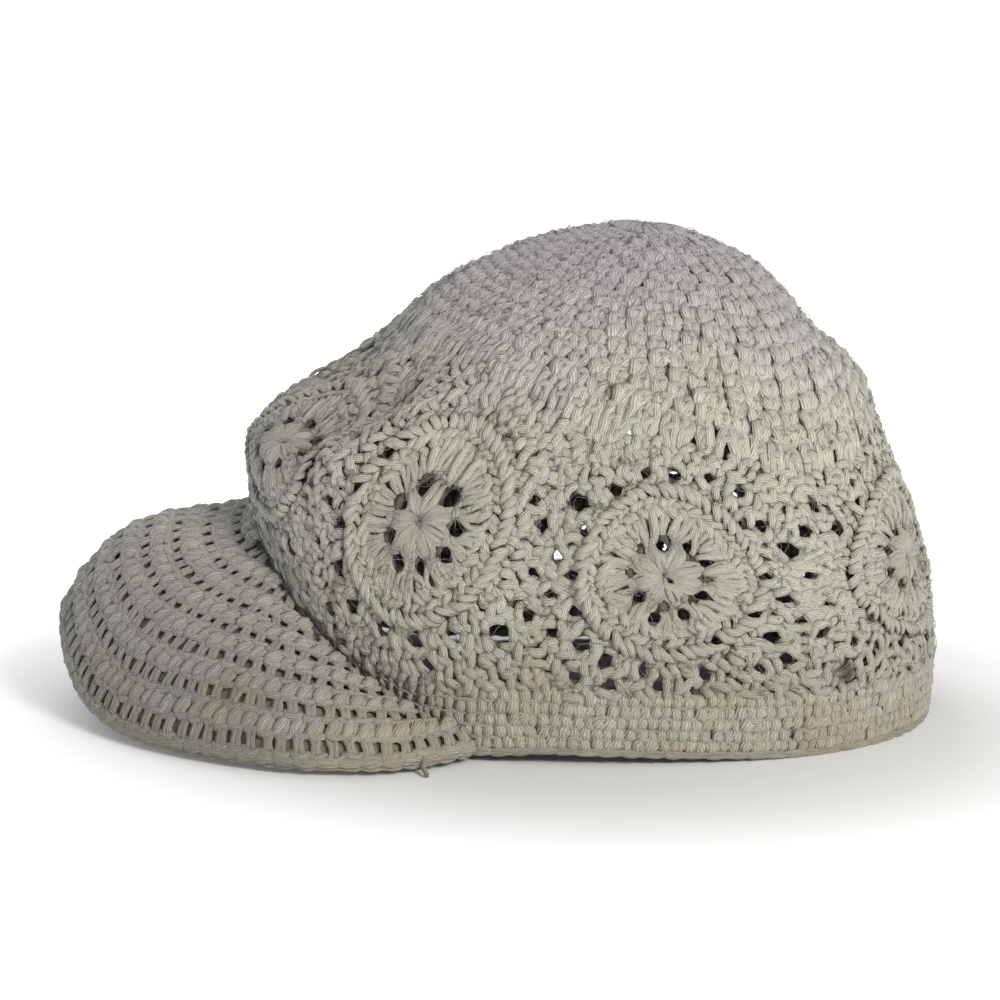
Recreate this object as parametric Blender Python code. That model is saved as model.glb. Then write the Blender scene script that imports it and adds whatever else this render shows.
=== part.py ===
"""Crochet baseball cap: dome crown, a band of eight openwork wheels, headband and arched peak.

Metres, +Z up. The peak points to -Y, +X is the wearer's left, and the cap stands on z = 0 with the
middle of its box at the origin. Run with Blender 4.5.
"""
import math
from collections import namedtuple

import bmesh
import bpy
import numpy as np
from mathutils import Vector
from mathutils.geometry import delaunay_2d_cdt

# Head opening, in plan from the middle of the band
FRONT_REACH = 0.0985
BACK_REACH = 0.0960
HALF_WIDTH = 0.0790
# Heights
CROWN_HEIGHT = 0.1385
FRONT_RISE = 0.0560
HEADBAND_HEIGHT = 0.0180
# The headband is tucked up behind the peak: the share of its height hidden there, and the
# degrees from the front where the tuck is whole and where it ends
FRONT_TUCK = 0.62
TUCK_WHOLE_DEG = 46.0
TUCK_END_DEG = 78.0
WHEEL_HEIGHT = 0.0680
# The rim stands on its back and is a little off the ground at the sides: how far, the middle of
# that stretch and half its width in degrees from the front
SIDE_LIFT = 0.0026
SIDE_LIFT_MIDDLE_DEG = 82.0
SIDE_LIFT_HALF_DEG = 44.0
# Knitted walls and the clearance between neighbours
WALL = 0.0030
GAP = 0.0003
# Peak: the crochet layer, its insert and the rolled edge
PEAK_REACH = 0.0570
PEAK_HALF_WIDTH = 0.0900
PEAK_FRONT_LIFT = 0.0240
PEAK_ARCH = 0.0105
PEAK_SPAN_DEG = 69.0
PEAK_SEAT = 0.0046
PEAK_LAYER = 0.0024
PEAK_INSERT = 0.0010
PEAK_HEM = 0.0050
PEAK_HEM_MOST = 0.45
# Rounding of the plan's corners, as a share of its radius at 45 degrees
SQUARENESS = 0.040
# Openwork wheels
WHEELS = 8
WHEEL_PUFF = 0.0016
PETALS = 8
PETAL_RING_RADIUS = 0.0094
PETAL_HOLE_RADIUS = 0.0017
MESH_HOLES = 7
MESH_RING_RADIUS = 0.0275
MESH_HOLE_RADIUS = 0.0024
HOLE_SIDES = 6
# Mesh density
NET_STEP = 0.0066
BAND_SEGMENTS = 72
BAND_LEVELS = (0.50, 1.00)
CROWN_SEGMENTS = 48
CROWN_RINGS = 11
PEAK_COLUMNS = 34
PEAK_ROWS = 8
# Step of the finite differences that give a surface normal, as a share of the profile
NORMAL_STEP = 0.0028
# Powers that shape the back's height, and the peak's arch from band to edge
BACK_LEAN = 1.5
ARCH_SKEW = 1.25
# The peak arches mostly upwards and a little outwards
ARCH_OUTWARDS = 0.35
ARCH_UPWARDS = 0.94
# Reach of a wheel's puff as a share of its height, and of the headband's flat foot
PUFF_REACH = 0.36
FOOT_SHARE = 0.7
# A gap's clearance from its panel's edge in its own radii, the turn in degrees between the two
# rings of gaps, and the clearance of the net's points from a gap as a share of their step
GAP_CLEARANCE = 1.7
RING_TURN_DEG = 12.0
NET_CLEARANCE = 0.33
# The hem's wall ends this share of its width short of the crochet's last row
HEM_SHARE = 0.9
# Edges sharper than this are kept sharp, and how dull cotton and the insert are
SHARP_DEG = 50.0
COTTON_ROUGHNESS = 0.92
INSERT_ROUGHNESS = 0.60

# Sections of the cap from the rim to the pole. along is the share of the profile's length.
# side_x is a share of HALF_WIDTH, side_z and back_z of CROWN_HEIGHT, front_y of FRONT_REACH,
# back_y and mid_y of BACK_REACH. climb is the share of the way from FRONT_RISE to CROWN_HEIGHT.
# lean is the power with which the front's height fades towards the sides.
SECTION_COLUMNS = ("along", "side_x", "side_z", "front_y", "climb", "back_y", "back_z", "mid_y", "lean")
SECTIONS = (
    (0.000, 1.000, 0.000, -1.000, 0.000, 1.000, 0.000, 0.000, 2.60),
    (0.050, 1.012, 0.062, -1.010, 0.070, 1.008, 0.062, 0.000, 2.50),
    (0.100, 1.020, 0.130, -1.012, 0.150, 1.008, 0.130, 0.000, 2.40),
    (0.190, 1.022, 0.255, -0.995, 0.265, 0.985, 0.252, 0.004, 2.20),
    (0.290, 1.005, 0.380, -0.930, 0.360, 0.938, 0.378, 0.010, 1.90),
    (0.380, 0.965, 0.498, -0.790, 0.470, 0.882, 0.495, 0.025, 1.70),
    (0.475, 0.895, 0.615, -0.615, 0.630, 0.818, 0.607, 0.055, 1.55),
    (0.540, 0.835, 0.700, -0.495, 0.760, 0.775, 0.690, 0.080, 1.45),
    (0.660, 0.675, 0.825, -0.305, 0.885, 0.620, 0.800, 0.110, 1.40),
    (0.785, 0.460, 0.920, -0.140, 0.955, 0.460, 0.915, 0.125, 1.40),
    (0.900, 0.220, 0.980, 0.010, 0.988, 0.280, 0.975, 0.125, 1.40),
    (1.000, 0.000, 1.000, 0.125, 1.000, 0.125, 1.000, 0.125, 1.40),
)

# Peak stations from its middle to its end. rim is the share of PEAK_SPAN_DEG where the station
# starts, out_x the share of PEAK_HALF_WIDTH at its outer edge, out_y the share of PEAK_REACH in
# front of the rim's front, lift the share of PEAK_FRONT_LIFT and arch the share of PEAK_ARCH.
PEAK_COLUMNS_NAMED = ("across", "rim", "out_x", "out_y", "lift", "arch")
PEAK_STATIONS = (
    (0.000, 0.000, 0.000, 1.000, 1.000, 1.000),
    (0.130, 0.125, 0.240, 0.955, 0.580, 1.000),
    (0.250, 0.230, 0.440, 0.820, 0.180, 0.950),
    (0.375, 0.320, 0.650, 0.590, 0.020, 0.850),
    (0.500, 0.410, 0.845, 0.250, 0.000, 0.720),
    (0.625, 0.530, 1.000, -0.200, 0.000, 0.560),
    (0.750, 0.690, 1.020, -0.620, 0.000, 0.380),
    (0.875, 0.840, 0.950, -0.880, 0.000, 0.200),
    (1.000, 0.985, 0.858, -1.080, 0.000, 0.050),
)

# Wheels from the front round by the wearer's left: the middle of each in degrees from the front,
# the turn of its gaps in degrees, and how far it sits above the band's middle, as a share of
# WHEEL_HEIGHT.
Wheel = namedtuple("Wheel", "name middle turn above")
WHEEL_TABLE = (
    Wheel("wheel_front_left", 21.0, 10.0, 0.00),
    Wheel("wheel_left_front", 56.5, 4.0, 0.03),
    Wheel("wheel_left_back", 97.0, 0.0, -0.01),
    Wheel("wheel_back_left", 150.0, 14.0, 0.00),
    Wheel("wheel_back_right", 199.0, 6.0, 0.00),
    Wheel("wheel_right_back", 246.0, 20.0, 0.02),
    Wheel("wheel_right_front", 293.0, 8.0, 0.03),
    Wheel("wheel_front_right", 337.0, 16.0, 0.00),
)

# Folds and dents. angle is in degrees from the front, along the share of the profile, slant the
# turn from upright, length and width are shares of WHEEL_HEIGHT, depth a share of it, out or in.
Fold = namedtuple("Fold", "name angle along slant length width depth")
FOLDS = (
    Fold("front_ridge", 42.0, 0.360, -34.0, 0.62, 0.140, 0.080),
    Fold("front_valley", 29.0, 0.360, -30.0, 0.60, 0.150, -0.100),
    Fold("brow_bulge", 18.0, 0.205, 80.0, 0.60, 0.150, 0.035),
    Fold("brow_dent", 8.0, 0.420, 80.0, 0.60, 0.220, -0.050),
    Fold("wheel_valley_left", 76.0, 0.330, 4.0, 0.70, 0.130, -0.060),
    Fold("crown_crease", 112.0, 0.570, 62.0, 0.75, 0.140, -0.060),
    Fold("back_bulge", 138.0, 0.640, 60.0, 0.60, 0.200, 0.045),
    Fold("far_ridge", 322.0, 0.340, 28.0, 0.60, 0.140, 0.060),
    Fold("far_valley", 285.0, 0.400, 20.0, 0.60, 0.150, -0.045),
    Fold("back_dent", 196.0, 0.620, 75.0, 0.60, 0.170, -0.035),
)

# Where the fabric has slid down the wall: middle and half width in degrees round, the middle and
# half height as shares of the profile, and the drop as a share of WHEEL_HEIGHT.
Slump = namedtuple("Slump", "name angle half_width along half_height drop")
SLUMPS = (
    Slump("slump_back_left", 128.0, 24.0, 0.500, 0.240, 0.150),
    Slump("slump_back_right", 236.0, 26.0, 0.500, 0.240, 0.080),
    Slump("slump_front_left", 50.0, 18.0, 0.450, 0.200, -0.060),
)

COTTON = (0.62, 0.60, 0.50)
COTTON_SHADE = (0.55, 0.53, 0.44)
INSERT_GREY = (0.33, 0.34, 0.27)


def smooth_curve(places, values, where):
    """Value at each place of a smooth curve through a table's column, with finite-difference slopes."""
    places = np.asarray(places, float)
    values = np.asarray(values, float)
    slopes = np.gradient(values, places)
    where = np.clip(where, places[0], places[-1])
    low = np.clip(np.searchsorted(places, where, side="right") - 1, 0, len(places) - 2)
    span = places[low + 1] - places[low]
    t = (where - places[low]) / span
    start = (1 + 2 * t) * (1 - t) ** 2 * values[low] + t * (1 - t) ** 2 * span * slopes[low]
    end = t * t * (3 - 2 * t) * values[low + 1] + t * t * (t - 1) * span * slopes[low + 1]
    return start + end


def column(table, names, name, where):
    """A named column of a table, read smoothly at each place along the table's first column."""
    index = names.index(name)
    return smooth_curve([row[0] for row in table], [row[index] for row in table], where)


def signed_turn(angle):
    """The angle brought between -pi and pi."""
    return (angle + math.pi) % (2 * math.pi) - math.pi


def plain_point(angle, along):
    """The cap's middle surface without folds: angle in radians from the front, along from 0 to 1."""
    read = {name: column(SECTIONS, SECTION_COLUMNS, name, along) for name in SECTION_COLUMNS[1:]}
    cosine = np.cos(angle)
    ahead = np.clip(cosine, 0.0, None)
    behind = np.clip(-cosine, 0.0, None)
    front_y = read["front_y"] * np.where(read["front_y"] < 0, FRONT_REACH, BACK_REACH)
    mid_y = read["mid_y"] * BACK_REACH
    back_y = read["back_y"] * BACK_REACH
    front_z = FRONT_RISE + read["climb"] * (CROWN_HEIGHT - FRONT_RISE)
    side_z = read["side_z"] * CROWN_HEIGHT
    back_z = read["back_z"] * CROWN_HEIGHT
    corner = 1 + SQUARENESS * np.sin(2 * angle) ** 2
    x = read["side_x"] * HALF_WIDTH * np.sin(angle) * corner
    y = mid_y + ((front_y - mid_y) * ahead + (back_y - mid_y) * behind) * corner
    z = side_z + (front_z - side_z) * ahead ** read["lean"] + (back_z - side_z) * behind ** BACK_LEAN
    off_middle = (np.degrees(np.abs(signed_turn(angle))) - SIDE_LIFT_MIDDLE_DEG) / SIDE_LIFT_HALF_DEG
    z = z + SIDE_LIFT * np.clip(1 - off_middle ** 2, 0.0, None) ** 2 * (1 - along) ** 2
    return np.stack([x, y, z], axis=-1)


def profile_length():
    """Length of the wall from the rim to the pole, measured up the side."""
    points = plain_point(np.full(200, math.pi / 2), np.linspace(0, 1, 200))
    return float(np.linalg.norm(np.diff(points, axis=0), axis=1).sum())


PROFILE = profile_length()
MEAN_RADIUS = (FRONT_REACH + BACK_REACH + 2 * HALF_WIDTH) / 4


def normal_of(surface, angle, along):
    """Outward unit normal of a surface of angle and along, from finite differences."""
    step_angle = NORMAL_STEP * PROFILE / MEAN_RADIUS
    low = np.clip(along - NORMAL_STEP, 0.0, 1.0 - 2 * NORMAL_STEP)
    high = low + 2 * NORMAL_STEP
    around = surface(angle + step_angle, along) - surface(angle - step_angle, along)
    up = surface(angle, high) - surface(angle, low)
    normal = np.cross(around, up)
    length = np.linalg.norm(normal, axis=-1, keepdims=True)
    pole = np.broadcast_to(np.array([0.0, 0.0, 1.0]), normal.shape)
    return np.where(length > 1e-12, normal / np.maximum(length, 1e-12), pole)


def fold_height(angle, along):
    """How far folds, dents and the puffed wheels push the surface out, in metres."""
    height = np.zeros(np.broadcast(angle, along).shape)
    for fold in FOLDS:
        across = signed_turn(angle - math.radians(fold.angle)) * MEAN_RADIUS
        up = (along - fold.along) * PROFILE
        turn = math.radians(fold.slant)
        beside = across * math.cos(turn) + up * math.sin(turn)
        lengthwise = up * math.cos(turn) - across * math.sin(turn)
        shape = np.exp(-(beside / (fold.width * WHEEL_HEIGHT)) ** 2)
        shape *= np.exp(-(lengthwise / (0.5 * fold.length * WHEEL_HEIGHT)) ** 4)
        height += fold.depth * WHEEL_HEIGHT * shape
    middle = (HEADBAND_HEIGHT + WHEEL_HEIGHT / 2) / PROFILE
    rise = (along - middle) * PROFILE
    for wheel in WHEEL_TABLE:
        across = signed_turn(angle - math.radians(wheel.middle)) * MEAN_RADIUS
        height += WHEEL_PUFF * np.exp(-(across ** 2 + rise ** 2) / (PUFF_REACH * WHEEL_HEIGHT) ** 2)
    fade = np.clip(along / (FOOT_SHARE * HEADBAND_HEIGHT / PROFILE), 0.0, 1.0)
    return height * fade ** 2


def folded_point(angle, along):
    """The cap's middle surface with its folds."""
    push = fold_height(angle, along)[..., None]
    return plain_point(angle, along) + push * normal_of(plain_point, angle, along)


def settled(angle, along):
    """The share of the profile where a round of the fabric lies once it has slid down the wall."""
    lower = np.zeros(np.broadcast(angle, along).shape)
    for slump in SLUMPS:
        beside = signed_turn(angle - math.radians(slump.angle)) / math.radians(slump.half_width)
        up = (along - slump.along) / slump.half_height
        lower += slump.drop * WHEEL_HEIGHT / PROFILE * np.exp(-beside ** 2 - up ** 4)
    return np.clip(along - lower * np.clip(4 * along, 0, 1) * np.clip(4 * (1 - along), 0, 1), 0, 1)


def cap_point(angle, along, offset):
    """A point of the fabric offset metres outside the folded middle surface."""
    angle, along, offset = np.broadcast_arrays(angle, along, offset)
    along = settled(angle, along)
    return folded_point(angle, along) + offset[..., None] * normal_of(folded_point, angle, along)


def rim_point(angle, offset):
    """The bottom edge, where the wall's two faces keep one height so that it stands flat."""
    point = cap_point(angle, np.zeros_like(angle), offset)
    point[..., 2] = folded_point(angle, np.zeros_like(angle))[..., 2]
    return point


def frame_shift():
    """How far back everything moves so that the origin lies under the middle of the cap's box."""
    back = cap_point(np.full(40, math.pi), np.linspace(0, 0.4, 40), WALL / 2)[:, 1].max()
    return (FRONT_REACH + PEAK_REACH - back) / 2


def object_from(name, points, faces, colour, roughness):
    """A named object of one closed mesh, shaded smooth but for its sharp edges, with a material."""
    mesh = bpy.data.meshes.new(name)
    mesh.from_pydata([tuple(map(float, point)) for point in points], [], faces)
    shape = bmesh.new()
    shape.from_mesh(mesh)
    bmesh.ops.triangulate(shape, faces=shape.faces)
    bmesh.ops.recalc_face_normals(shape, faces=shape.faces)
    shape.to_mesh(mesh)
    shape.free()
    mesh.shade_smooth()
    mesh.set_sharp_from_angle(angle=math.radians(SHARP_DEG))
    finish = bpy.data.materials.new(name + "_finish")
    finish.use_nodes = True
    shader = finish.node_tree.nodes["Principled BSDF"]
    shader.inputs["Base Color"].default_value = (*colour, 1.0)
    shader.inputs["Roughness"].default_value = roughness
    mesh.materials.append(finish)
    piece = bpy.data.objects.new(name, mesh)
    piece.location.y = frame_shift()
    bpy.context.scene.collection.objects.link(piece)
    return piece


def shell(outer, inner, closed):
    """Points and faces of a wall between two equal grids, closed round in the second direction."""
    rows, columns = outer.shape[:2]
    size = rows * columns
    points = np.concatenate([outer.reshape(-1, 3), inner.reshape(-1, 3)])
    faces = []
    steps = columns if closed else columns - 1
    for row in range(rows - 1):
        for step in range(steps):
            a = row * columns + step
            b = row * columns + (step + 1) % columns
            c, d = b + columns, a + columns
            faces.append((a, b, c, d))
            faces.append((size + d, size + c, size + b, size + a))
    for step in range(steps):
        a, b = step, (step + 1) % columns
        faces.append((size + a, size + b, b, a))
        a, b = a + size - columns, b + size - columns
        faces.append((a, b, size + b, size + a))
    if not closed:
        for row in range(rows - 1):
            a, b = row * columns, (row + 1) * columns
            faces.append((a, b, size + b, size + a))
            a, b = a + columns - 1, b + columns - 1
            faces.append((size + a, size + b, b, a))
    return points, faces


def band_top(angle):
    """Height of the headband along the wall, lower where it is tucked up behind the peak."""
    turned = np.degrees(np.abs(signed_turn(angle)))
    share = np.clip((TUCK_END_DEG - turned) / (TUCK_END_DEG - TUCK_WHOLE_DEG), 0.0, 1.0)
    return HEADBAND_HEIGHT * (1 - FRONT_TUCK * share * share * (3 - 2 * share))


def build_headband():
    """The plain band round the head, standing on its bottom edge."""
    angles = np.linspace(0, 2 * math.pi, BAND_SEGMENTS, endpoint=False)
    top = (band_top(angles) - GAP / 2) / PROFILE
    faces_of_wall = []
    for offset in (WALL / 2, -WALL / 2):
        rings = [rim_point(angles, np.full_like(angles, offset))]
        rings += [cap_point(angles, share * top, offset) for share in BAND_LEVELS]
        faces_of_wall.append(np.stack(rings))
    points, faces = shell(faces_of_wall[0], faces_of_wall[1], True)
    return object_from("headband", points, faces, COTTON_SHADE, COTTON_ROUGHNESS)


def build_crown():
    """The close dome from the top of the wheels to the pole, with one point on its axis a side."""
    base = (HEADBAND_HEIGHT + WHEEL_HEIGHT + GAP / 2) / PROFILE
    angles = np.linspace(0, 2 * math.pi, CROWN_SEGMENTS, endpoint=False)
    levels = base + (1 - base) * np.linspace(0, 1, CROWN_RINGS + 1)[:-1]
    grids = []
    for offset in (WALL / 2, -WALL / 2):
        grids.append(cap_point(angles[None, :], levels[:, None], np.full((1, 1), offset)))
    size = grids[0].shape[0] * grids[0].shape[1]
    pole = folded_point(np.zeros(1), np.ones(1))[0]
    points, faces = shell(grids[0], grids[1], True)
    last = size - CROWN_SEGMENTS
    faces = [face for face in faces if not is_top_strip(face, last, size)]
    points = np.concatenate([points, [pole + (0, 0, WALL / 2)], [pole - (0, 0, WALL / 2)]])
    for step in range(CROWN_SEGMENTS):
        a, b = last + step, last + (step + 1) % CROWN_SEGMENTS
        faces.append((a, b, 2 * size))
        faces.append((size + b, size + a, 2 * size + 1))
    return object_from("crown", points, faces, COTTON, COTTON_ROUGHNESS)


def is_top_strip(face, last, size):
    """True for the faces that would close the wall between the two top rings."""
    outer = [index for index in face if last <= index < size]
    inner = [index for index in face if index >= size + last]
    return len(outer) == 2 and len(inner) == 2


def hole_outlines(width, height, turn, above):
    """Outlines of one wheel's gaps on its flat panel: the petal ring and the outer mesh ring."""
    outlines = []
    for count, ring, radius, start in (
        (PETALS, PETAL_RING_RADIUS, PETAL_HOLE_RADIUS, turn),
        (MESH_HOLES, MESH_RING_RADIUS, MESH_HOLE_RADIUS, turn + RING_TURN_DEG),
    ):
        for index in range(count):
            bearing = math.radians(start + 360 * index / count)
            reach_x = min(ring, 0.5 * width - GAP_CLEARANCE * radius)
            reach_y = min(ring, (0.5 - abs(above)) * height - GAP_CLEARANCE * radius)
            middle = np.array([reach_x * math.cos(bearing), reach_y * math.sin(bearing) + above * height])
            corners = bearing + 2 * math.pi * np.arange(HOLE_SIDES) / HOLE_SIDES
            spread = np.stack([np.cos(corners), np.sin(corners)], axis=-1)
            outlines.append(middle + radius * spread)
    return outlines


def inside(point, outline):
    """True where a point lies inside a convex outline that runs anticlockwise."""
    following = np.roll(outline, -1, axis=0)
    edge = following - outline
    to_point = point - outline
    return bool(np.all(edge[:, 0] * to_point[:, 1] - edge[:, 1] * to_point[:, 0] > 0))


def net_points(width, height, outlines):
    """Evenly spaced points inside a panel, clear of its gaps."""
    columns = max(3, round(width / NET_STEP))
    rows = max(3, round(height / NET_STEP))
    points = []
    for row in range(1, rows):
        for index in range(1, columns):
            point = np.array([width * (index / columns - 0.5), height * (row / rows - 0.5)])
            nearest = min(np.linalg.norm(outline - point, axis=1).min() for outline in outlines)
            if nearest > NET_CLEARANCE * NET_STEP and not any(inside(point, outline) for outline in outlines):
                points.append(point)
    return points


def panel_edge(width, height):
    """The outline of a flat panel, anticlockwise from its lower left corner."""
    columns = max(3, round(width / NET_STEP))
    rows = max(3, round(height / NET_STEP))
    edge = [(width * (i / columns - 0.5), -0.5 * height) for i in range(columns)]
    edge += [(0.5 * width, height * (i / rows - 0.5)) for i in range(rows)]
    edge += [(width * (0.5 - i / columns), 0.5 * height) for i in range(columns)]
    edge += [(-0.5 * width, height * (0.5 - i / rows)) for i in range(rows)]
    return np.array(edge)


def flat_net(width, height, turn, above):
    """Triangles of a flat panel with its gaps left out, and the loops round its edge and gaps."""
    outlines = hole_outlines(width, height, turn, above)
    loops = [panel_edge(width, height)] + outlines
    points, edges = [], []
    for loop in loops:
        first = len(points)
        points.extend(loop)
        edges.extend((first + i, first + (i + 1) % len(loop)) for i in range(len(loop)))
    points.extend(net_points(width, height, outlines))
    flat = [Vector((float(x), float(y))) for x, y in points]
    made = delaunay_2d_cdt(flat, edges, [], 0, 1e-7)
    spots = np.array([(point.x, point.y) for point in made[0]])
    triangles = []
    for triangle in made[2]:
        middle = spots[list(triangle)].mean(axis=0)
        if not any(inside(middle, outline) for outline in outlines):
            triangles.append(tuple(triangle))
    return spots, triangles


def build_wheel(index):
    """One openwork wheel: a curved panel with its petal gaps and outer mesh gaps cut through."""
    name, middle, turn, above = WHEEL_TABLE[index]
    before = WHEEL_TABLE[index - 1].middle - (360.0 if index == 0 else 0.0)
    after = WHEEL_TABLE[(index + 1) % WHEELS].middle + (360.0 if index == WHEELS - 1 else 0.0)
    pitch = 2 * math.pi * MEAN_RADIUS / WHEELS
    spots, triangles = flat_net(pitch, WHEEL_HEIGHT, turn, above)
    trim = GAP / 2
    share = 2 * spots[:, 0] / pitch
    to_side = np.where(share < 0, middle - before, after - middle) / 2
    angles = math.radians(middle) + (np.radians(to_side) - trim / MEAN_RADIUS) * share
    low = band_top(angles) + trim
    high = HEADBAND_HEIGHT + WHEEL_HEIGHT - trim
    alongs = (low + (high - low) * (spots[:, 1] / WHEEL_HEIGHT + 0.5)) / PROFILE
    outer = cap_point(angles, alongs, np.full_like(angles, WALL / 2))
    inner = cap_point(angles, alongs, np.full_like(angles, -WALL / 2))
    count = len(spots)
    faces = list(triangles) + [tuple(count + i for i in reversed(face)) for face in triangles]
    sides = {pair for a, b, c in triangles for pair in ((a, b), (b, c), (c, a))}
    for a, b in sorted(sides):
        if (b, a) not in sides:
            faces.append((b, a, count + a, count + b))
    points = np.concatenate([outer, inner])
    return object_from(name, points, faces, COTTON, COTTON_ROUGHNESS)


def peak_read(name, across):
    """A column of the peak's stations from its right end to its left: rim and out_x change sign."""
    index = PEAK_COLUMNS_NAMED.index(name)
    sign = -1 if name in ("rim", "out_x") else 1
    right = [(-row[0], sign * row[index]) for row in reversed(PEAK_STATIONS[1:])]
    left = [(row[0], row[index]) for row in PEAK_STATIONS]
    places, values = zip(*(right + left))
    return smooth_curve(places, values, across)


def peak_point(across, out, drop):
    """A point of the peak: across from -1 to 1, out from 0 at the band to 1, drop below its top."""
    across, out, drop = np.broadcast_arrays(across, out, drop)
    angle = peak_read("rim", across) * math.radians(PEAK_SPAN_DEG)
    seat = np.clip((PEAK_SEAT - drop) / PROFILE, 0.0, None)
    start = cap_point(angle, seat, np.full(angle.shape, WALL / 2 + GAP))
    edge_x = peak_read("out_x", across) * PEAK_HALF_WIDTH
    edge_y = -FRONT_REACH - peak_read("out_y", across) * PEAK_REACH
    thickness = PEAK_LAYER + PEAK_INSERT + GAP
    edge_z = np.clip(peak_read("lift", across), 0.0, None) * PEAK_FRONT_LIFT + thickness
    end = np.stack([edge_x, edge_y, edge_z - drop], axis=-1)
    rise = PEAK_ARCH * peak_read("arch", across) * np.sin(math.pi * out ** ARCH_SKEW)
    point = start + (end - start) * out[..., None]
    upwards = np.full(angle.shape, ARCH_UPWARDS)
    lean = np.stack([ARCH_OUTWARDS * np.sin(angle), -ARCH_OUTWARDS * np.cos(angle), upwards], axis=-1)
    return point + rise[..., None] * lean


def peak_grid():
    """Stations across the peak and, for each, the shares out where its hem and insert begin."""
    across = np.linspace(-1, 1, PEAK_COLUMNS + 1)
    ends = peak_point(across[None, :], np.array([[0.0], [1.0]]), np.zeros((1, 1)))
    width = np.linalg.norm(ends[1] - ends[0], axis=-1)
    hem = np.minimum(PEAK_HEM / width, PEAK_HEM_MOST)
    clear = np.minimum(GAP / width, PEAK_HEM_MOST / 8)
    return across, hem, clear


def build_peak():
    """The peak's crochet layer: an arched crescent whose hem turns down over the insert's edge."""
    across, hem, clear = peak_grid()
    rows = np.linspace(0, 1, PEAK_ROWS)[:, None] * (1 - hem - 2 * clear)
    out = np.concatenate([rows, [1 - hem, 1 - HEM_SHARE * hem, np.ones_like(hem)]])
    drop = np.full(out.shape, PEAK_LAYER)
    drop[-2:] += GAP + PEAK_INSERT
    top = peak_point(across[None, :], out, np.zeros((1, 1)))
    bottom = peak_point(across[None, :], out, drop)
    points, faces = shell(top, bottom, False)
    return object_from("peak", points, faces, COTTON_SHADE, COTTON_ROUGHNESS)


def build_peak_insert():
    """The thin stiffener that lies under the peak's crochet, inside its hem."""
    across, hem, clear = peak_grid()
    rows = np.linspace(0, 1, PEAK_ROWS)[:, None] * (1 - hem - 2 * clear)
    rows[0] += 2 * clear
    inner = slice(1, -1)
    above = np.full((1, 1), PEAK_LAYER + GAP)
    top = peak_point(across[None, inner], rows[:, inner], above)
    bottom = peak_point(across[None, inner], rows[:, inner], above + PEAK_INSERT)
    points, faces = shell(top, bottom, False)
    return object_from("peak_insert", points, faces, INSERT_GREY, INSERT_ROUGHNESS)


def main():
    """Clear the scene and build every piece."""
    for old in list(bpy.data.objects):
        bpy.data.objects.remove(old, do_unlink=True)
    build_headband()
    for index in range(WHEELS):
        build_wheel(index)
    build_crown()
    build_peak()
    build_peak_insert()


main()
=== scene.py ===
"""Looks of a crochet baseball cap: yarn-by-yarn stitches of its crown, wheels, headband and peak.

Metres, +Z up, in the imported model's frame. The peak points to -Y and +X is the wearer's left.
"""
import logging
import math
from dataclasses import dataclass, field
from enum import Enum
from functools import cached_property
from typing import Callable, Iterator, NamedTuple

import bpy
import numpy as np
from mathutils import Matrix, Vector
from mathutils.geometry import delaunay_2d_cdt


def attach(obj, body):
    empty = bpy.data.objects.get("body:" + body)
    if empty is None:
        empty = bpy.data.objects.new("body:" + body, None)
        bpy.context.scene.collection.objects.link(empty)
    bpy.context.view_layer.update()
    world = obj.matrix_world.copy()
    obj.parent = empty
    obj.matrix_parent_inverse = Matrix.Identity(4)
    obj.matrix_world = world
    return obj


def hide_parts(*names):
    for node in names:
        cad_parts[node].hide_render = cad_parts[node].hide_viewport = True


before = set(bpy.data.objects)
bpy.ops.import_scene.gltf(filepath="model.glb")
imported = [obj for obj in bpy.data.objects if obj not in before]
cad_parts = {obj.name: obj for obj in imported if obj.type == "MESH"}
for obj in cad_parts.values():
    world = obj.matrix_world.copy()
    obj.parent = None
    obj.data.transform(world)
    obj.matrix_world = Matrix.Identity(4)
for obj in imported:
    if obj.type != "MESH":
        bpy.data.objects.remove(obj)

Array = np.ndarray
Numbers = Array | float
Material = bpy.types.Material
Piece = bpy.types.Object
Colour = tuple[float, float, float, float]
Spot = tuple[float, float, float]
Surface = Callable[[Array, Array], Array]
Settle = Callable[[Array, Array, Array], Array]

MM = 0.001
TURN = 2 * math.pi
BACKING_STITCH = 0.0058
BACKING_ROW = 0.0049
BLACK = (0.0, 0.0, 0.0, 1.0)
WHITE = (1.0, 1.0, 1.0, 1.0)
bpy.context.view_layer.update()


class Section(NamedTuple):
    """A round of the cap's middle surface, as shares of its named sizes."""

    along: float
    side_x: float
    side_z: float
    front_y: float
    climb: float
    back_y: float
    back_z: float
    mid_y: float
    lean: float


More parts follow.
